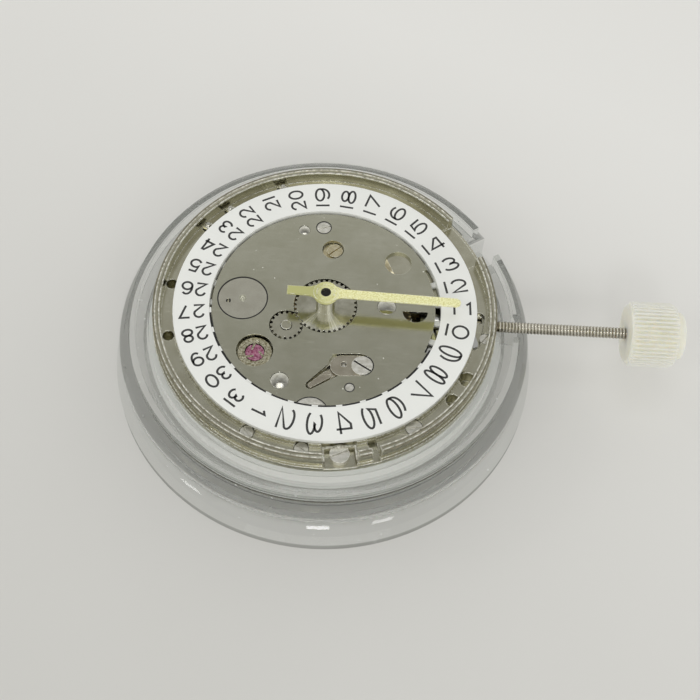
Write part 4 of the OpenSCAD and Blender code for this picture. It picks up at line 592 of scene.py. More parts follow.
@dataclass(frozen=True)
class MilkyPlasticFinish(Finish):
    """Milky moulded plastic that lets light into its depth."""

    scatter: float = 0.85
    scatter_mm: float = 1.5
    scatter_rgb: tuple[float, float, float] = (1.0, 0.9, 0.7)
    patch_mm: float = 1.5
    skin_mm: float = 0.1
    edge_mm: float = 0.06

    def dress(self, tree: bpy.types.NodeTree, shader: bpy.types.Node, place: Source) -> None:
        """Adds scattering and the moulding's fine grain."""
        shader.inputs["Subsurface Weight"].default_value = self.scatter
        shader.inputs["Subsurface Radius"].default_value = self.scatter_rgb
        shader.inputs["Subsurface Scale"].default_value = self.scatter_mm * MM
        feed(tree, shader, {"Base Color": self.tones(tree, place, self.patch_mm, 0.3, 0.7)})
        skin = add_node(tree, "TexNoise", {"Scale": per_metre(self.skin_mm), "Detail": 3.0}, {"Vector": place})
        bevel = add_node(tree, "Bevel", {"samples": 4, "Radius": self.edge_mm * MM})
        bump = add_node(tree, "Bump", {"Strength": 0.15, "Distance": 0.01 * MM}, {"Height": skin, "Normal": bevel})
        feed(tree, shader, {"Normal": bump})


@dataclass(frozen=True)
class RubyFinish(Finish):
    """Polished synthetic ruby, pink where light passes through."""

    clear: float = 0.55
    ior: float = 1.77
    patch_mm: float = 0.22
    facet_mm: float = 0.2

    def dress(self, tree: bpy.types.NodeTree, shader: bpy.types.Node, place: Source) -> None:
        """Makes the stone partly clear and clouds its colour a little."""
        shader.inputs["Transmission Weight"].default_value = self.clear
        shader.inputs["IOR"].default_value = self.ior
        feed(tree, shader, {"Base Color": self.tones(tree, place, self.patch_mm, 0.42, 0.6)})
        facets = add_node(tree, "TexVoronoi", {"Scale": per_metre(self.facet_mm)}, {"Vector": place})
        bump = add_node(tree, "Bump", {"Strength": 0.6, "Distance": 0.05 * MM}, {"Height": facets})
        feed(tree, shader, {"Normal": bump})


# Nickel on brass, rolled and fine-blasted: a soft grey mirror with specks of dust and hair scratches
NICKEL_PLATE = MetalFinish("nickel_plated_brass_satin", "#C9C8B6", "#BFBEAA", 0.17, depth=0.1, patch_mm=2.5,
                           spread=0.04, dust=0.8)
# The same plate seen on the bridges, with the long strokes of the grinding
NICKEL_BRIDGE = MetalFinish("nickel_plated_brass_ground", "#CDCBC0", "#BFBDB0", 0.22, grain=Grain.BRUSHED,
                            depth=0.35, patch_mm=2.5, spread=0.06)
# The turned main plate: pale silver with bright speckled edges, a painted highlight
NICKEL_RIM = MetalFinish("nickel_plated_brass_turned", "#CECCB9", "#BFBCA7", 0.19, grain=Grain.CAST,
                         depth=0.22, patch_mm=1.8, edge_mm=0.12, wear=1.0)
# Steel of the levers, pinions and bridge screws: a clean polish with edges brightened by a painted highlight
STEEL = MetalFinish("polished_steel", "#D9D7CD", "#C6C3B7", 0.14, depth=0.25, patch_mm=0.5, spread=0.05,
                    wear=0.8)
# Screw heads: the same steel, flat-polished in a circle, with slot edges brightened by a painted highlight
SCREW_STEEL = MetalFinish("polished_screw_steel", "#F6F4EC", "#D2D0C4", 0.2, metallic=0.7,
                          grain=Grain.BRUSHED, depth=0.3, patch_mm=0.4, spread=0.05, edge_mm=0.05, wear=1.0)
# Burnished edges of the plate, painted near-white as highlights, broken into glints
BURNISHED_HIGHLIGHT = MetalFinish("burnished_nickel_painted_highlight", "#FFFEF4", "#9D9A88", 0.3, metallic=0.6, grain=Grain.CAST,
                        depth=1.0, patch_mm=0.25, spread=0.1)
# Domed pin ends, tumbled to a sparkling polish
DOMED_STEEL = MetalFinish("tumbled_steel", "#D4D3CA", "#B9B7AB", 0.09, grain=Grain.CAST, depth=0.9,
                          patch_mm=0.3, spread=0.05)
# The driving wheel's lapped disc, a little lighter and warmer than the plate round it
LAPPED_DISC = MetalFinish("lapped_nickel", "#D6D4C5", "#CCC9BA", 0.19, depth=0.12, patch_mm=1.2, spread=0.05,
                          dust=0.6)
# Gilt brass wheels: warm yellow, brushed
GILT_BRASS = MetalFinish("gilt_brass", "#C9AE74", "#B0935A", 0.24, grain=Grain.BRUSHED, depth=0.2)
# Pale gilding of the shock settings, coarse enough to glitter
PALE_GILT = MetalFinish("pale_gilding", "#EDE8CF", "#8F8764", 0.2, grain=Grain.CAST, depth=1.0, patch_mm=0.16,
                        spread=0.1, wear=1.0)
# The minute wheel: pale nickel over brass, turned smooth
PALE_WHEEL = MetalFinish("pale_turned_brass", "#CBC9B8", "#BFBDAA", 0.17, depth=0.12, patch_mm=1.0,
                         spread=0.04)
# The hour wheel: the same nickel, turned on its axis, with painted highlight sectors in fine rays
SUNRAY_WHEEL = SunrayFinish("sunray_nickel_painted_highlights", "#D2D0C0", "#B2B09D", 0.17, depth=0.12, patch_mm=1.0,
                            spread=0.04)
# Spring bronze of the date jumper, a little pink
BRONZE = MetalFinish("plated_spring_bronze", "#CBC5B4", "#BBB4A2", 0.2, depth=0.3, patch_mm=0.8, edge_mm=0.08,
                     wear=1.0)
# Eccentric of pale brass, turned, with a painted highlight at its edge
BRASS = MetalFinish("turned_brass", "#E3DABB", "#CDC29D", 0.2, depth=0.4, patch_mm=0.4, edge_mm=0.07,
                    wear=1.0)
# Blue tempered springs: dark, with a satin shine
BLUE_SPRING = MetalFinish("tempered_spring_steel", "#4A5668", "#3A4454", 0.25, depth=0.1)
# Heavy alloy of the rotor's weight: grey, with the streaks of turning
HEAVY_METAL = MetalFinish("turned_heavy_alloy", "#A5A39B", "#8F8D84", 0.26, depth=0.3, turned=0.6,
                          edge_mm=0.08, wear=0.8)
# Satin gold plating of the hand, with a sandy sparkle and painted shade that makes the tail greener and deeper
GOLD = HandFinish("grained_gold_plating", "#FEFDCB", "#E4E09A", 0.46, metallic=0.1, grain=Grain.CAST,
                  depth=1.0, patch_mm=0.12, spread=0.16, edge_mm=0.05, wear=1.0)
# White lacquer of the date ring: even, with a soft gloss
WHITE_LACQUER = LacquerFinish("white_lacquer", "#F2F3EF", "#ECEDE9", 0.35)
# Printed numerals: soft black, a little uneven
INK = InkFinish("pad_printed_ink", "#2B2B2B", "#3A3A39", 0.5)
# Painted shadow: black put inside the hand's bore, the slots and the gaps, where only shade lies
SHADOW_BLACK = InkFinish("painted_shadow_black", "#0C0C0B", "#151513", 0.6)
# Brown-grey painted shade at the foot of the dial seat's edges
SEAT_PAINTED_SHADE = InkFinish("painted_shade_nickel", "#57523F", "#8B866F", 0.3)
# The holder: clear acrylic as it comes from the mould, which bends what lies behind it
CLEAR_PLASTIC = ClearPlasticFinish("clear_moulded_acrylic", "#F4F6F4", "#B9BCB7", 0.01)
# The crown: moulded plastic with a warm, soft glow
MILKY_PLASTIC = MilkyPlasticFinish("milky_moulded_plastic", "#EDECE0", "#E5E3D6", 0.45)
# The jewels: a clouded pink glitter, partly clear
RUBY = RubyFinish("synthetic_ruby", "#F3A6C6", "#B43C76", 0.1)


def put_on(node: str, finish: Finish) -> None:
    """Gives every material slot of a CAD node one finish."""
    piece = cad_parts[node]
    material = finish.material()
    if not piece.material_slots:
        piece.data.materials.append(material)
    for slot in piece.material_slots:
        slot.material = material
    LOG.info("finish %s on %s", finish.name, node)


def mesh_piece(name: str, made: bmesh.types.BMesh, finish: Finish, body: str) -> bpy.types.Object:
    """Turns a mesh in millimetres into a piece that rides on a body.

    Args:
        name: The piece's name.
        made: The mesh, in millimetres in the model's frame; it is freed.
        finish: Its finish.
        body: The CAD body that carries it.

    Returns:
        The new object.
    """
    bmesh.ops.remove_doubles(made, verts=made.verts, dist=1e-5)
    bmesh.ops.dissolve_degenerate(made, edges=made.edges, dist=1e-6)
    bmesh.ops.scale(made, vec=(MM, MM, MM), verts=made.verts)
    bmesh.ops.recalc_face_normals(made, faces=made.faces)
    mesh = bpy.data.meshes.new(name)
    made.to_mesh(mesh)
    made.free()
    for face in mesh.polygons:
        face.use_smooth = True
    mesh.set_sharp_from_angle(angle=math.radians(35))
    mesh.materials.append(finish.material())
    piece = bpy.data.objects.new(name, mesh)
    bpy.context.scene.collection.objects.link(piece)
    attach(piece, body)
    LOG.info("piece %s on %s: %d faces", name, body, len(mesh.polygons))
    return piece


def lathe(made: bmesh.types.BMesh, profile: list[Point], centre: Point, steps: int = 96) -> None:
    """Turns a closed profile of radius and height about a vertical axis.

    Args:
        made: The mesh that takes the faces.
        profile: Radius and height pairs, in order round the section.
        centre: Where the axis stands.
        steps: Facets round the axis.
    """
    rings = []
    for radius, height in profile:
        ring = []
        for i in range(steps):
            a = math.tau * i / steps
            x, y = centre[0] + radius * math.cos(a), centre[1] + radius * math.sin(a)
            ring.append(made.verts.new((x, y, height)))
        rings.append(ring)
    for a, b in zip(rings, rings[1:] + rings[:1]):
        for i in range(steps):
            j = (i + 1) % steps
            made.faces.new((a[i], a[j], b[j], b[i]))


def ribbon(made: bmesh.types.BMesh, points: list[Point | Vector], width: float, low: float, high: float) -> None:
    """Draws a flat stroke of even width along a path.

    Args:
        made: The mesh that takes the faces.
        points: Points of the middle line; a closed line repeats its first point.
        width: Width of the stroke.
        low: Height of its underside.
        high: Height of its face.
    """
    path = [Vector(point) for point in points]
    closed = (path[0] - path[-1]).length < 1e-6
    count = len(path)
    left, right = [], []
    for i, point in enumerate(path):
        before = path[i - 1] if i else (path[-2] if closed else point)
        after = path[i + 1] if i < count - 1 else (path[1] if closed else point)
        first = (point - before).normalized() if (point - before).length > 1e-9 else None
        last = (after - point).normalized() if (after - point).length > 1e-9 else None
        along = ((first or last) + (last or first)).normalized()
        side = Vector((-along.y, along.x))
        turn = max(0.5, side.dot(Vector((-(last or first).y, (last or first).x))))
        left.append(point + side * width / 2 / turn)
        right.append(point - side * width / 2 / turn)
    tops = [(made.verts.new((*a, high)), made.verts.new((*b, high))) for a, b in zip(left, right)]
    lows = [(made.verts.new((*a, low)), made.verts.new((*b, low))) for a, b in zip(left, right)]
    for i in range(count - 1):
        made.faces.new((tops[i][0], tops[i][1], tops[i + 1][1], tops[i + 1][0]))
        made.faces.new((tops[i][0], tops[i + 1][0], lows[i + 1][0], lows[i][0]))
        made.faces.new((tops[i][1], lows[i][1], lows[i + 1][1], tops[i + 1][1]))
        made.faces.new((lows[i][0], lows[i + 1][0], lows[i + 1][1], lows[i][1]))
    if not closed:
        for top, low_end in ((tops[0], lows[0]), (tops[-1], lows[-1])):
            made.faces.new((top[0], low_end[0], low_end[1], top[1]))


def flat_piece(made: bmesh.types.BMesh, outline: list[Point], low: float, high: float, chamfer: float) -> None:
    """Raises a flat piece with broken top edges from its outline.

    Args:
        made: The mesh that takes the faces.
        outline: Its corners in order.
        low: Height of its underside.
        high: Height of its face.
        chamfer: How far the top edges are broken.
    """
    bottom = [made.verts.new((x, y, low)) for x, y in outline]
    top = [made.verts.new((x, y, high)) for x, y in outline]
    face = made.faces.new(top)
    made.faces.new(bottom[::-1])
    for i, point in enumerate(top):
        j = (i + 1) % len(top)
        made.faces.new((point, top[j], bottom[j], bottom[i]))
    bmesh.ops.bevel(made, geom=list(face.edges), offset=chamfer, segments=3, profile=0.5, affect="EDGES")


def arc(centre: Point, radius: Point, start: float, end: float, steps: int = 10) -> list[Point]:
    """Returns points of an elliptic arc; angles are in degrees."""
    angles = [math.radians(start + (end - start) * i / steps) for i in range(steps + 1)]
    return [(centre[0] + radius[0] * math.cos(a), centre[1] + radius[1] * math.sin(a)) for a in angles]


# The figure six, from its tail over the top and round its bowl
SIX: list[Point] = arc((0.5, 0.5), (0.5, 0.5), 48, 180, 14) + arc((0.5, 0.31), (0.5, 0.31), 180, 540, 28)
# Strokes of the printed figures in a cell one wide and one high
FIGURES: dict[str, list[list[Point]]] = {
    "0": [arc((0.5, 0.5), (0.5, 0.5), 90, 450, 32)],
    "1": [[(0.0, 0.8), (1.0, 1.0), (1.0, 0.0)]],
    "I": [[(0.5, 1.0), (0.5, 0.0)]],
    "2": [arc((0.5, 0.68), (0.46, 0.32), 172, -28, 14) + [(0.04, 0.0), (1.0, 0.0)]],
    "3": [arc((0.46, 0.74), (0.42, 0.26), 155, -85, 12) + arc((0.5, 0.27), (0.5, 0.27), 85, -160, 12)],
    "4": [[(0.78, 0.0), (0.78, 1.0), (0.56, 1.0), (0.0, 0.27), (1.0, 0.27)]],
    "5": [[(0.92, 1.0), (0.2, 1.0), (0.08, 0.5)] + arc((0.47, 0.32), (0.53, 0.32), 118, -155, 14)],
    "6": [SIX],
    "7": [[(0.0, 1.0), (1.0, 1.0), (0.34, 0.0)]],
    "8": [arc((0.5, 0.75), (0.42, 0.25), 90, 450, 22), arc((0.5, 0.25), (0.5, 0.25), 90, 450, 22)],
    "9": [[(1 - x, 1 - y) for x, y in SIX]],
}


@dataclass(frozen=True)
class DateWork:
    """The date ring with its printed figures."""

    days: int = 31
    right_day: int = 11
    right_az: float = 1.31
    edge_mm: float = 10.96
    high_mm: float = 1.06
    digit_mm: float = 0.74
    digit_gap_mm: float = 0.32
    bar_mm: float = 0.1
    bar_shift_mm: float = 0.04
    wide_mm: float = 1.16
    bar_gap_mm: float = 0.46
    single_mm: float = 1.7
    flag_mm: float = 0.28
    last_one_mm: float = 0.86
    stroke_mm: float = 0.165
    print_mm: float = 0.006

    def cells(self, label: str) -> list[tuple[str, float, float]]:
        """Lays out a label's figures, which all end at the same radius.

        Args:
            label: The day's number.

        Returns:
            Each figure's name in FIGURES, the radius of its left edge and its width.
        """
        out = self.edge_mm - self.stroke_mm / 2
        if label == "1":
            return [("1", out - self.last_one_mm, self.flag_mm)]
        if len(label) == 1:
            return [(label, out - self.single_mm, self.single_mm)]
        if label == "11":
            return [("I", out - self.wide_mm - self.bar_shift_mm, 0.0), ("1", out - self.flag_mm, self.flag_mm)]
        if label[0] == "1":
            return [("I", out - self.wide_mm - self.bar_gap_mm, 0.0), (label[1], out - self.wide_mm, self.wide_mm)]
        name, last = ("I", self.bar_mm) if label[1] == "1" else (label[1], self.digit_mm)
        return [(label[0], out - last - self.digit_gap_mm - self.digit_mm, self.digit_mm), (name, out - last, last)]

    def print_dates(self) -> None:
        """Prints the figures, which stand upright at three o'clock."""
        made = bmesh.new()
        face_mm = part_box("date_ring")[1][2] / MM
        for day in range(1, self.days + 1):
            label = str(day)
            angle = math.radians(self.right_az + (day - self.right_day) * 360 / self.days)
            out, up = Vector((math.cos(angle), math.sin(angle))), Vector((-math.sin(angle), math.cos(angle)))
            for name, left, wide in self.cells(label):
                for stroke in FIGURES[name]:
                    path = [out * (left + x * wide) + up * (y - 0.5) * self.high_mm for x, y in stroke]
                    ribbon(made, path, self.stroke_mm, face_mm - self.print_mm, face_mm + self.print_mm)
        mesh_piece("printed_dates", made, INK, "date_ring")

    def build(self) -> None:
        """Dresses the date work."""
        for node, finish in {"date_ring": WHITE_LACQUER, "date_guard_plate": NICKEL_PLATE,
                             "date_driving_wheel": LAPPED_DISC, "intermediate_date_wheel": GILT_BRASS,
                             "date_jumper": BRONZE, "jumper_keeper": BRONZE, "date_eccentric": BRASS}.items():
            put_on(node, finish)
        self.print_dates()


@dataclass(frozen=True)
class HandWork:
    """The cannon pinion's hand and the motion work's wheels."""

    az: float = -1.9
    reach_mm: float = 10.0
    tail_mm: float = 2.87
    width_mm: float = 0.73
    thick_mm: float = 0.14
    hub_mm: float = 0.925
    bore_mm: float = 0.37
    bevel_mm: float = 0.035
    # Half outline of an arm where it leaves the hub
    flare_mm: tuple[Point, ...] = ((0.6, 0.68), (0.78, 0.55), (0.94, 0.46), (1.15, 0.395))
    flare_end_mm: float = 1.4
    # The baton's end: how far back each corner lies, and its share of the half width
    tip_mm: tuple[Point, ...] = ((0.3, 1.0), (0.08, 0.62), (0.0, 0.0), (0.08, -0.62), (0.3, -1.0))
    # Groove and crest of the hub, as radius and rise over the hand's face
    rings_mm: tuple[Point, ...] = ((0.7, 0.012), (0.66, -0.03), (0.62, -0.03), (0.58, 0.02), (0.5, 0.045),
                                   (0.42, 0.02))

    def bar(self, far: list[Point], side: int) -> list[Point]:
        """Returns the outline of one arm, which flares into the hub.

        Args:
            far: The corners of its far end, from the upper one to the lower one.
            side: 1 for the baton, -1 for the tail.

        Returns:
            Its corners in order.
        """
        flare = (*self.flare_mm, (self.flare_end_mm, self.width_mm / 2))
        upper = [(side * x, y) for x, y in flare]
        lower = [(side * x, -y) for x, y in reversed(flare)]
        return upper + far + lower

    def build_hand(self) -> None:
        """Builds the baton, its tail and the ringed hub, which take the CAD hand's place."""
        low, high = (corner[2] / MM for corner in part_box("minute_hand"))
        half = self.width_mm / 2
        tip = [(self.reach_mm - back, half * share) for back, share in self.tip_mm]
        made = bmesh.new()
        flat_piece(made, self.bar(tip, 1), high - self.thick_mm, high, self.bevel_mm)
        flat_piece(made, self.bar([(-self.tail_mm, half), (-self.tail_mm, -half)], -1), high - self.thick_mm, high,
                   self.bevel_mm)
        lathe(made, [(self.bore_mm, low), (self.hub_mm, low), (self.hub_mm, high - 0.03),
                     (self.hub_mm - 0.03, high + 0.012), *((radius, high + rise) for radius, rise in self.rings_mm),
                     (self.bore_mm, high - 0.03)], (0, 0))
        turn = Matrix.Rotation(math.radians(self.az), 3, "Z")
        bmesh.ops.rotate(made, cent=(0, 0, 0), matrix=turn, verts=made.verts)
        hand = mesh_piece("gold_hand", made, GOLD, "hands")
        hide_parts("minute_hand")

    def build_bore(self) -> None:
        """Builds a painted shadow: a black floor in the hand's bore, with the second arbor's end in it."""
        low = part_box("minute_hand")[0][2] / MM
        out = self.bore_mm - 0.01
        made = bmesh.new()
        lathe(made, [(0.0, low + 0.03), (0.1, low + 0.02), (0.12, low - 0.02), (out, low - 0.02), (out, low - 0.05),
                     (0.0, low - 0.05)], (0, 0), 32)
        mesh_piece("hand_bore_shadow", made, SHADOW_BLACK, "hands")

    def build(self) -> None:
        """Dresses the motion work."""
        self.build_hand()
        self.build_bore()
        for node, finish in {"cannon_pinion": STEEL, "hour_wheel": SUNRAY_WHEEL, "minute_wheel": PALE_WHEEL,
                             "setting_wheel": GILT_BRASS, "intermediate_setting_wheel": GILT_BRASS}.items():
            put_on(node, finish)


@dataclass(frozen=True)
class PlateWork:
    """The main plate, its screws and the bridges under it."""

    # Pins with domed ends, as X, Y and radius
    pins: tuple[tuple[float, float, float], ...] = (
        (-2.998, -6.616, 0.66), (4.597, 0.163, 0.68), (-1.979, 6.853, 0.42))
    dome: float = 0.15
    pin_gap_mm: float = 0.015
    # The corrector's tongue, and how deep its underside and its face lie in the hole
    tongue_at: Point = (5.369, 4.183)
    tongue_mm: float = 1.0
    tongue_low_mm: Point = (0.24, 0.1)
    # Casing clips, drawn on the X axis and turned to each azimuth
    clips_az: tuple[float, ...] = (109.4, 132.1, 143.4)
    clip_mm: tuple[Point, ...] = ((11.62, -0.3), (12.1, -0.36), (12.1, 0.36), (11.62, 0.3))
    clip_deep_mm: float = 1.05
    clip_tall_mm: float = 0.62
    rivet_at: Point = (11.86, 0.0)
    # Painted shadows in the gaps between the ring's teeth, on one radius, and the share of the pitch that each fills
    gaps: int = 13
    gaps_az: float = -172.0
    gap_mm: float = 8.61
    gap_share: float = 0.74
    gap_wide_mm: float = 0.15
    gap_deep_mm: float = 0.12
    # The cam screw's pocket: how far out and how far across each corner of its lip lies
    pocket_az: float = -82.3
    pocket_mm: tuple[Point, ...] = ((12.55, -1.18), (11.56, -1.16), (11.5, -1.0), (11.5, 1.0), (11.56, 1.16),
                                    (12.55, 1.18))
    pocket_deep_mm: float = 0.85
    # The driving wheel's disc and its hook hole, whose two arcs of painted shadow have a start, an end and a width
    driver_at: Point = (-6.2495, 0.3056)
    driver_mm: float = 1.825
    hook_at: Point = (driver_at[0] - 1.05, driver_at[1] - 0.29)
    hook_arcs: tuple[tuple[float, float, float], ...] = ((-60, 60, 0.11), (150, 230, 0.1))
    line_mm: float = 0.032
    # The date screw's slot, filled with painted shadow, which lies on its head under the guard and the keeper
    date_screw_at: Point = (2.934, -5.019)
    slot_az: float = -32.0
    slot_mm: float = 0.74
    guard_mm: float = 0.25
    keeper_mm: float = 0.12
    lens_at: Point = (-0.65, -9.15)
    # Pins ringed with painted shadow, as X, Y and radius
    ringed_mm: tuple[tuple[float, float, float], ...] = ((2.08, -6.901, 0.32), (-0.487, 7.19, 0.55))
    # The dial seat's burnished edges, bright as painted highlights, and its dark lines of painted shade, as radius and
    # width, and the arcs that they run over
    seat_mm: tuple[Point, ...] = ((12.42, 0.09), (12.72, 0.09))
    seat_lines: tuple[Point, ...] = ((12.51, 0.07), (12.84, 0.1))
    seat_arcs: tuple[Point, ...] = ((-68.6, 23.0), (41.8, 271.6), (-76.2, -72.4))

    def build_pins(self) -> None:
        """Domes the ends of the pins that stand in the guard plate."""
        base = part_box("date_guard_plate")[1][2] / MM - 0.02
        made = bmesh.new()
        for x, y, radius in self.pins:
            out = radius - self.pin_gap_mm
            cap = [(out * math.sin(t), base + self.dome * out * (math.cos(t) ** 2)) for t in
                   (math.radians(9 * k) for k in range(11))]
            lathe(made, [*cap, (out, base - 0.01), (0.0, base - 0.01)], (x, y), 48)
        mesh_piece("domed_pin_ends", made, DOMED_STEEL, "movement")

    def build_tongue(self) -> None:
        """Builds the brass tongue that shows through the corrector's hole."""
        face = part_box("date_guard_plate")[1][2] / MM
        made = bmesh.new()
        outline = arc(self.tongue_at, (self.tongue_mm, self.tongue_mm), 152, 258, 14)
        under, over = self.tongue_low_mm
        flat_piece(made, outline, face - under, face - over, 0.025)
        mesh_piece("corrector_tongue", made, BRASS, "movement")

    def build_gaps(self) -> None:
        """Builds painted shadows: black strips in the gaps that show between the ring's teeth at the near edge of the
        guard plate.
        """
        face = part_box("date_ring")[1][2] / MM
        pitch = 360 / DateWork.days
        made, roots = bmesh.new(), bmesh.new()
        for k in range(self.gaps):
            start = self.gaps_az + k * pitch
            gap = arc((0, 0), (self.gap_mm, self.gap_mm), start, start + self.gap_share * pitch, 8)
            # Painted shadow in each gap, white lacquer on the tooth between
            ribbon(made, gap, self.gap_wide_mm, face - self.gap_deep_mm, face - 0.05)
            root = arc((0, 0), (self.gap_mm, self.gap_mm), start - (1 - self.gap_share) * pitch, start, 4)
            ribbon(roots, root, self.gap_wide_mm, face - self.gap_deep_mm, face - 0.04)
        mesh_piece("tooth_gap_shadows", made, SHADOW_BLACK, "movement")
        mesh_piece("tooth_roots", roots, WHITE_LACQUER, "movement")

    def build_pocket(self) -> None:
        """Builds the polished lip round the cam screw's pocket, painted bright as a highlight."""
        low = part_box("date_ring")[1][2] / MM - self.pocket_deep_mm
        a = math.radians(self.pocket_az)
        out, side = Vector((math.cos(a), math.sin(a))), Vector((-math.sin(a), math.cos(a)))
        made = bmesh.new()
        ribbon(made, [out * x + side * y for x, y in self.pocket_mm], 0.13, low, low + 0.16)
        mesh_piece("pocket_lip", made, BURNISHED_HIGHLIGHT, "movement")

    def build_rivet(self) -> None:
        """Builds the driving wheel's rivet, and painted shadows: the line round its disc, its hook hole, the date
        screw's slot and gap, the lens's edge and the rings round pins.
        """
        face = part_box("date_guard_plate")[1][2] / MM - 0.02
        made = bmesh.new()
        lathe(made, [(0.0, face + 0.035), (0.1, face + 0.03), (0.16, face - 0.01), (0.24, face + 0.015), (0.29, face),
                     (0.29, face - 0.12), (0.0, face - 0.12)], self.driver_at, 32)
        mesh_piece("driver_rivet", made, NICKEL_PLATE, "movement")
        # Painted shadows in black, where only shade lies in the gaps and hollows
        line = bmesh.new()
        out = self.driver_mm
        shown = face + self.line_mm
        lathe(line, [(out - 0.01, face - 0.1), (out + 0.08, face - 0.1), (out + 0.08, shown), (out - 0.01, shown)],
              self.driver_at, 96)
        slot, slot_az = Vector(self.date_screw_at), math.radians(self.slot_az)
        reach = Vector((math.cos(slot_az), math.sin(slot_az))) * self.slot_mm
        top = face - self.guard_mm + 2 * self.keeper_mm
        ribbon(line, [slot - reach, slot + reach], 0.1, top - 0.02, top)
        ribbon(line, arc(self.date_screw_at, (0.83, 0.83), -70, 80, 24), 0.06, face, face + 0.03)
        ribbon(line, arc(self.lens_at, (1.3, 1.3), 33, 147, 24), 0.06, face, shown)
        for x, y, radius in self.ringed_mm:
            wide = radius + 0.06
            lathe(line, [(radius, face - 0.05), (wide, face - 0.05), (wide, shown), (radius, shown)], (x, y), 48)
        for start, end, width in self.hook_arcs:
            ribbon(line, arc(self.hook_at, (0.13, 0.13), start, end, 8), width, face + 0.01, face + 0.035)
        mesh_piece("driver_shadow_line", line, SHADOW_BLACK, "movement")

    def build_beads(self) -> None:
        """Builds the dial seat's burnished edges, bright as painted highlights, and its dark lines of painted shade,
        broken where the rim is cut away.
        """
        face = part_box("main_plate")[1][2] / MM
        for name, rings, rise, finish in (("burnished_seat_highlights", self.seat_mm, 0.03, BURNISHED_HIGHLIGHT),
                                          ("seat_shadow_lines", self.seat_lines, 0.012, SEAT_PAINTED_SHADE)):
            made = bmesh.new()
            for radius, width in rings:
                for start, end in self.seat_arcs:
                    path = arc((0, 0), (radius, radius), start, end, int(end - start) + 2)
                    ribbon(made, path, width, face - 0.02, face + rise)
            mesh_piece(name, made, finish, "movement")

    def build_clips(self) -> None:
        """Builds the bright casing clips in the plate's rim."""
        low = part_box("date_ring")[1][2] / MM - self.clip_deep_mm
        made = bmesh.new()
        for az in self.clips_az:
            part = bmesh.new()
            flat_piece(part, list(self.clip_mm), low, low + self.clip_tall_mm, 0.09)
            lathe(part, [(0.22, low + 0.6), (0.22, low + 0.7), (0.16, low + 0.76), (0.0, low + 0.76),
                         (0.0, low + 0.6)], self.rivet_at, 24)
            turn = Matrix.Rotation(math.radians(az), 3, "Z")
            bmesh.ops.rotate(part, cent=(0, 0, 0), matrix=turn, verts=part.verts)
            copy = bpy.data.meshes.new("clip")
            part.to_mesh(copy)
            part.free()
            made.from_mesh(copy)
            bpy.data.meshes.remove(copy)
        mesh_piece("casing_clips", made, DOMED_STEEL, "movement")

    def build(self) -> None:
        """Dresses the plate's nodes."""
        self.build_pins()
        self.build_tongue()
        self.build_gaps()
        self.build_pocket()
        self.build_rivet()
        self.build_beads()
        self.build_clips()
        put_on("main_plate", NICKEL_RIM)
        put_on("dial_side_screws", SCREW_STEEL)
        for node in ("barrel_bridge", "train_bridge", "pallet_bridge", "balance_bridge", "crown_wheel_bridge"):
            put_on(node, NICKEL_BRIDGE)
        put_on("bridge_screws", STEEL)


@dataclass(frozen=True)
class WindingWork:
    """Stem, crown and the wheels that wind and set."""

    stem_mm: float = 0.45

    def build(self) -> None:
        """Dresses the winding work."""
        put_on("crown", MILKY_PLASTIC)
        low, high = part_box("winding_stem")
        axis = ((low[1] + high[1]) / 2 / MM, (low[2] + high[2]) / 2 / MM)
        # Threaded steel: bright crests over roots darkened with painted shade
        threaded = ThreadFinish("threaded_steel", "#D6D3C8", "#C2BEB2", 0.2, depth=0.25, patch_mm=0.5, axis_mm=axis,
                                root_mm=self.stem_mm - 0.07, crest_mm=self.stem_mm - 0.01)
        put_on("winding_stem", threaded)
        for node in ("winding_pinion", "sliding_pinion", "setting_lever", "yoke", "setting_lever_spring", "click"):
            put_on(node, STEEL)
        for node in ("crown_wheel", "ratchet_wheel", "barrel_arbor"):
            put_on(node, NICKEL_PLATE)


@dataclass(frozen=True)
class TrainWork:
    """Barrel, going train, escapement and balance."""

    def build(self) -> None:
        """Dresses the train."""
        for node in ("barrel_drum", "barrel_cover", "centre_wheel", "third_wheel", "seconds_wheel", "balance_wheel"):
            put_on(node, GILT_BRASS)
        for node in ("escape_wheel", "pallet_fork", "regulator"):
            put_on(node, STEEL)
        for node in ("mainspring", "hairspring"):
            put_on(node, BLUE_SPRING)
        for node in ("pallet_stones", "train_jewels", "shock_jewels"):
            put_on(node, RUBY)
        put_on("shock_settings", PALE_GILT)
        put_on("shock_springs", PALE_GILT)


@dataclass(frozen=True)
class AutomaticWork:
    """Rotor and reversing wheels."""

    def build(self) -> None:
        """Dresses the automatic work."""
        for node in ("automatic_bridge", "rotor_plate"):
            put_on(node, NICKEL_BRIDGE)
        put_on("rotor_bearing", STEEL)
        put_on("rotor_weight", HEAVY_METAL)
        put_on("reversing_pinion_b", STEEL)
        for node in ("rotor_pinion", "reversing_wheel_a", "reversing_wheel_b", "reduction_wheel"):
            put_on(node, GILT_BRASS)


@dataclass(frozen=True)
class Holder:
    """The clear workshop holder."""

    def build(self) -> None:
        """Dresses the holder."""
        put_on("movement_holder", CLEAR_PLASTIC)


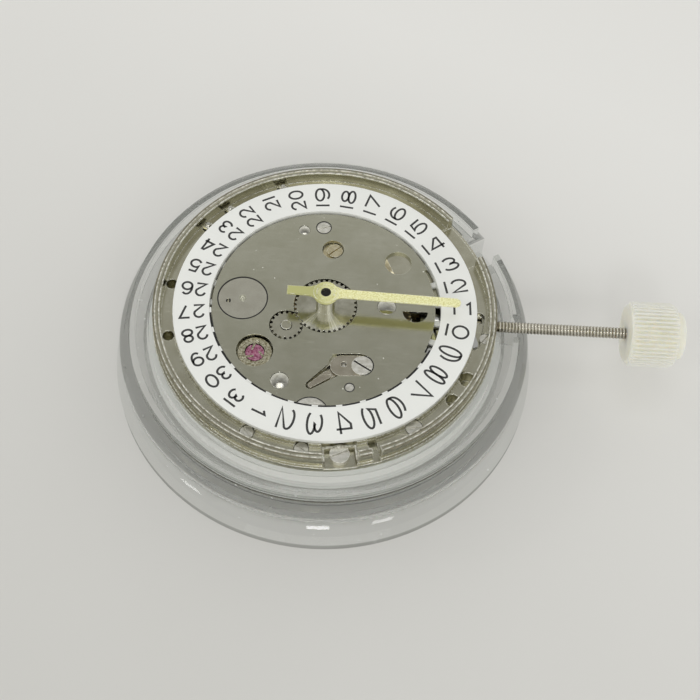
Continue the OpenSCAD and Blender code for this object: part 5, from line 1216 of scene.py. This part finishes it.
@dataclass(frozen=True)
class Camera:
    """The photograph's camera, from the vanishing of the date ring's circles."""

    azimuth: float = 1.41
    elevation: float = 57.36
    roll: float = -1.79
    distance_mm: float = 90.04
    focal_px: float = 1200.2
    aim_mm: tuple[float, float, float] = (0.0, 0.0, 7.8)
    aim_px: Point = (325.57, 304.36)
    clip_m: Point = (0.005, 5.0)

    def build(self) -> None:
        """Places the camera so that the aim point falls on its pixel."""
        a, e, r = (math.radians(angle) for angle in (self.azimuth, self.elevation, self.roll))
        right = Vector((math.cos(a), math.sin(a), 0))
        back = Vector((math.sin(a) * math.cos(e), -math.cos(a) * math.cos(e), math.sin(e)))
        rows = Matrix((right, back.cross(right), back))
        roll = Matrix(((math.cos(r), -math.sin(r), 0), (math.sin(r), math.cos(r), 0), (0, 0, 1)))
        half = IMAGE_PX / 2
        ray = Vector(((self.aim_px[0] - half) / self.focal_px, (half - self.aim_px[1]) / self.focal_px, -1))
        swing = Vector((0, 0, -1)).rotation_difference(ray.normalized()).to_matrix()
        to_camera = swing @ roll @ rows
        data = bpy.data.cameras.new("photo_camera")
        data.sensor_width = SENSOR_MM
        data.lens = self.focal_px * SENSOR_MM / IMAGE_PX
        data.clip_start, data.clip_end = self.clip_m
        camera = bpy.data.objects.new("photo_camera", data)
        bpy.context.scene.collection.objects.link(camera)
        place = (Vector(self.aim_mm) + back * self.distance_mm) * MM
        camera.matrix_world = Matrix.Translation(place) @ to_camera.transposed().to_4x4()
        bpy.context.scene.camera = camera
        LOG.info("camera at %s", tuple(round(v, 4) for v in place))


@dataclass(frozen=True)
class Lamp:
    """A square soft lamp that looks at the movement."""

    name: str
    az: float
    el: float
    away_mm: float
    size_mm: float
    watts: float
    colour: str = "#FFFFFF"

    def build(self) -> None:
        """Hangs the lamp."""
        data = bpy.data.lights.new(self.name, "AREA")
        data.shape = "SQUARE"
        data.size = self.size_mm * MM
        data.energy = self.watts
        data.color = linear(self.colour)[:3]
        lamp = bpy.data.objects.new(self.name, data)
        bpy.context.scene.collection.objects.link(lamp)
        a, e = math.radians(self.az), math.radians(self.el)
        way = Vector((math.cos(a) * math.cos(e), math.sin(a) * math.cos(e), math.sin(e)))
        lamp.location = way * self.away_mm * MM
        lamp.rotation_euler = way.to_track_quat("Z", "Y").to_euler()


@dataclass(frozen=True)
class Studio:
    """Plain pale floor and soft light."""

    floor_colour: str = "#EFEEEB"
    # Grey that the floor's painted shade reaches at the near left
    floor_shade: str = "#CFCECA"
    floor_m: float = 4.0
    # Holds the floor clear of the holder's foot: faces that share one plane flicker behind the plastic
    floor_gap_mm: float = 0.03
    low_sky: float = 0.95
    high_sky: float = 0.24
    sky_rise: Point = (0.55, 0.95)
    sky_tone: str = "#FFFFFC"
    lamps: tuple[Lamp, ...] = (
        Lamp("ceiling_lamp", 90, 87, 420, 160, 0.14),
        Lamp("window_lamp", -105, 58, 420, 380, 0.15),
        Lamp("front_bulb", -89, 42, 420, 55, 0.11),
        Lamp("right_bulb", -60, 40, 400, 50, 0.05),
        Lamp("left_bulb", -150, 40, 420, 55, 0.06),
        Lamp("far_left_bulb", 155, 40, 420, 55, 0.04),
    )

    def floor(self) -> None:
        """Lays the floor."""
        finish = PaperFinish("matt_paper_floor", self.floor_colour, self.floor_shade, 0.9)
        made = bmesh.new()
        bmesh.ops.create_grid(made, x_segments=1, y_segments=1, size=self.floor_m / 2)
        mesh = bpy.data.meshes.new("floor")
        made.to_mesh(mesh)
        made.free()
        mesh.materials.append(finish.material())
        floor = bpy.data.objects.new("floor", mesh)
        floor.location.z = -self.floor_gap_mm * MM
        bpy.context.scene.collection.objects.link(floor)

    def light(self) -> None:
        """Lights the scene with a sky that pales towards the horizon, and soft lamps."""
        world = bpy.data.worlds.new("studio")
        world.use_nodes = True
        tree = world.node_tree
        parts = add_node(tree, "SeparateXYZ", links={"Vector": add_node(tree, "TexCoord").outputs["Generated"]})
        fade = add_node(tree, "MapRange",
                        {"From Min": self.sky_rise[0], "From Max": self.sky_rise[1], "To Min": self.low_sky,
                         "To Max": self.high_sky},
                        {"Value": parts.outputs["Z"]})
        feed(tree, tree.nodes["Background"], {"Strength": fade})
        tree.nodes["Background"].inputs["Color"].default_value = linear(self.sky_tone)
        bpy.context.scene.world = world
        for lamp in self.lamps:
            lamp.build()

    def build(self) -> None:
        """Sets the stage."""
        self.floor()
        self.light()
        bpy.context.scene.view_settings.view_transform = "Standard"


def main() -> None:
    """Builds the scene in order."""
    logging.basicConfig(level=logging.INFO, format="%(name)s: %(message)s")
    for group in (Camera, Holder, PlateWork, DateWork, HandWork, WindingWork, TrainWork, AutomaticWork, Studio):
        LOG.info("building %s", group.__name__)
        group().build()


if __name__ == "__main__":
    main()
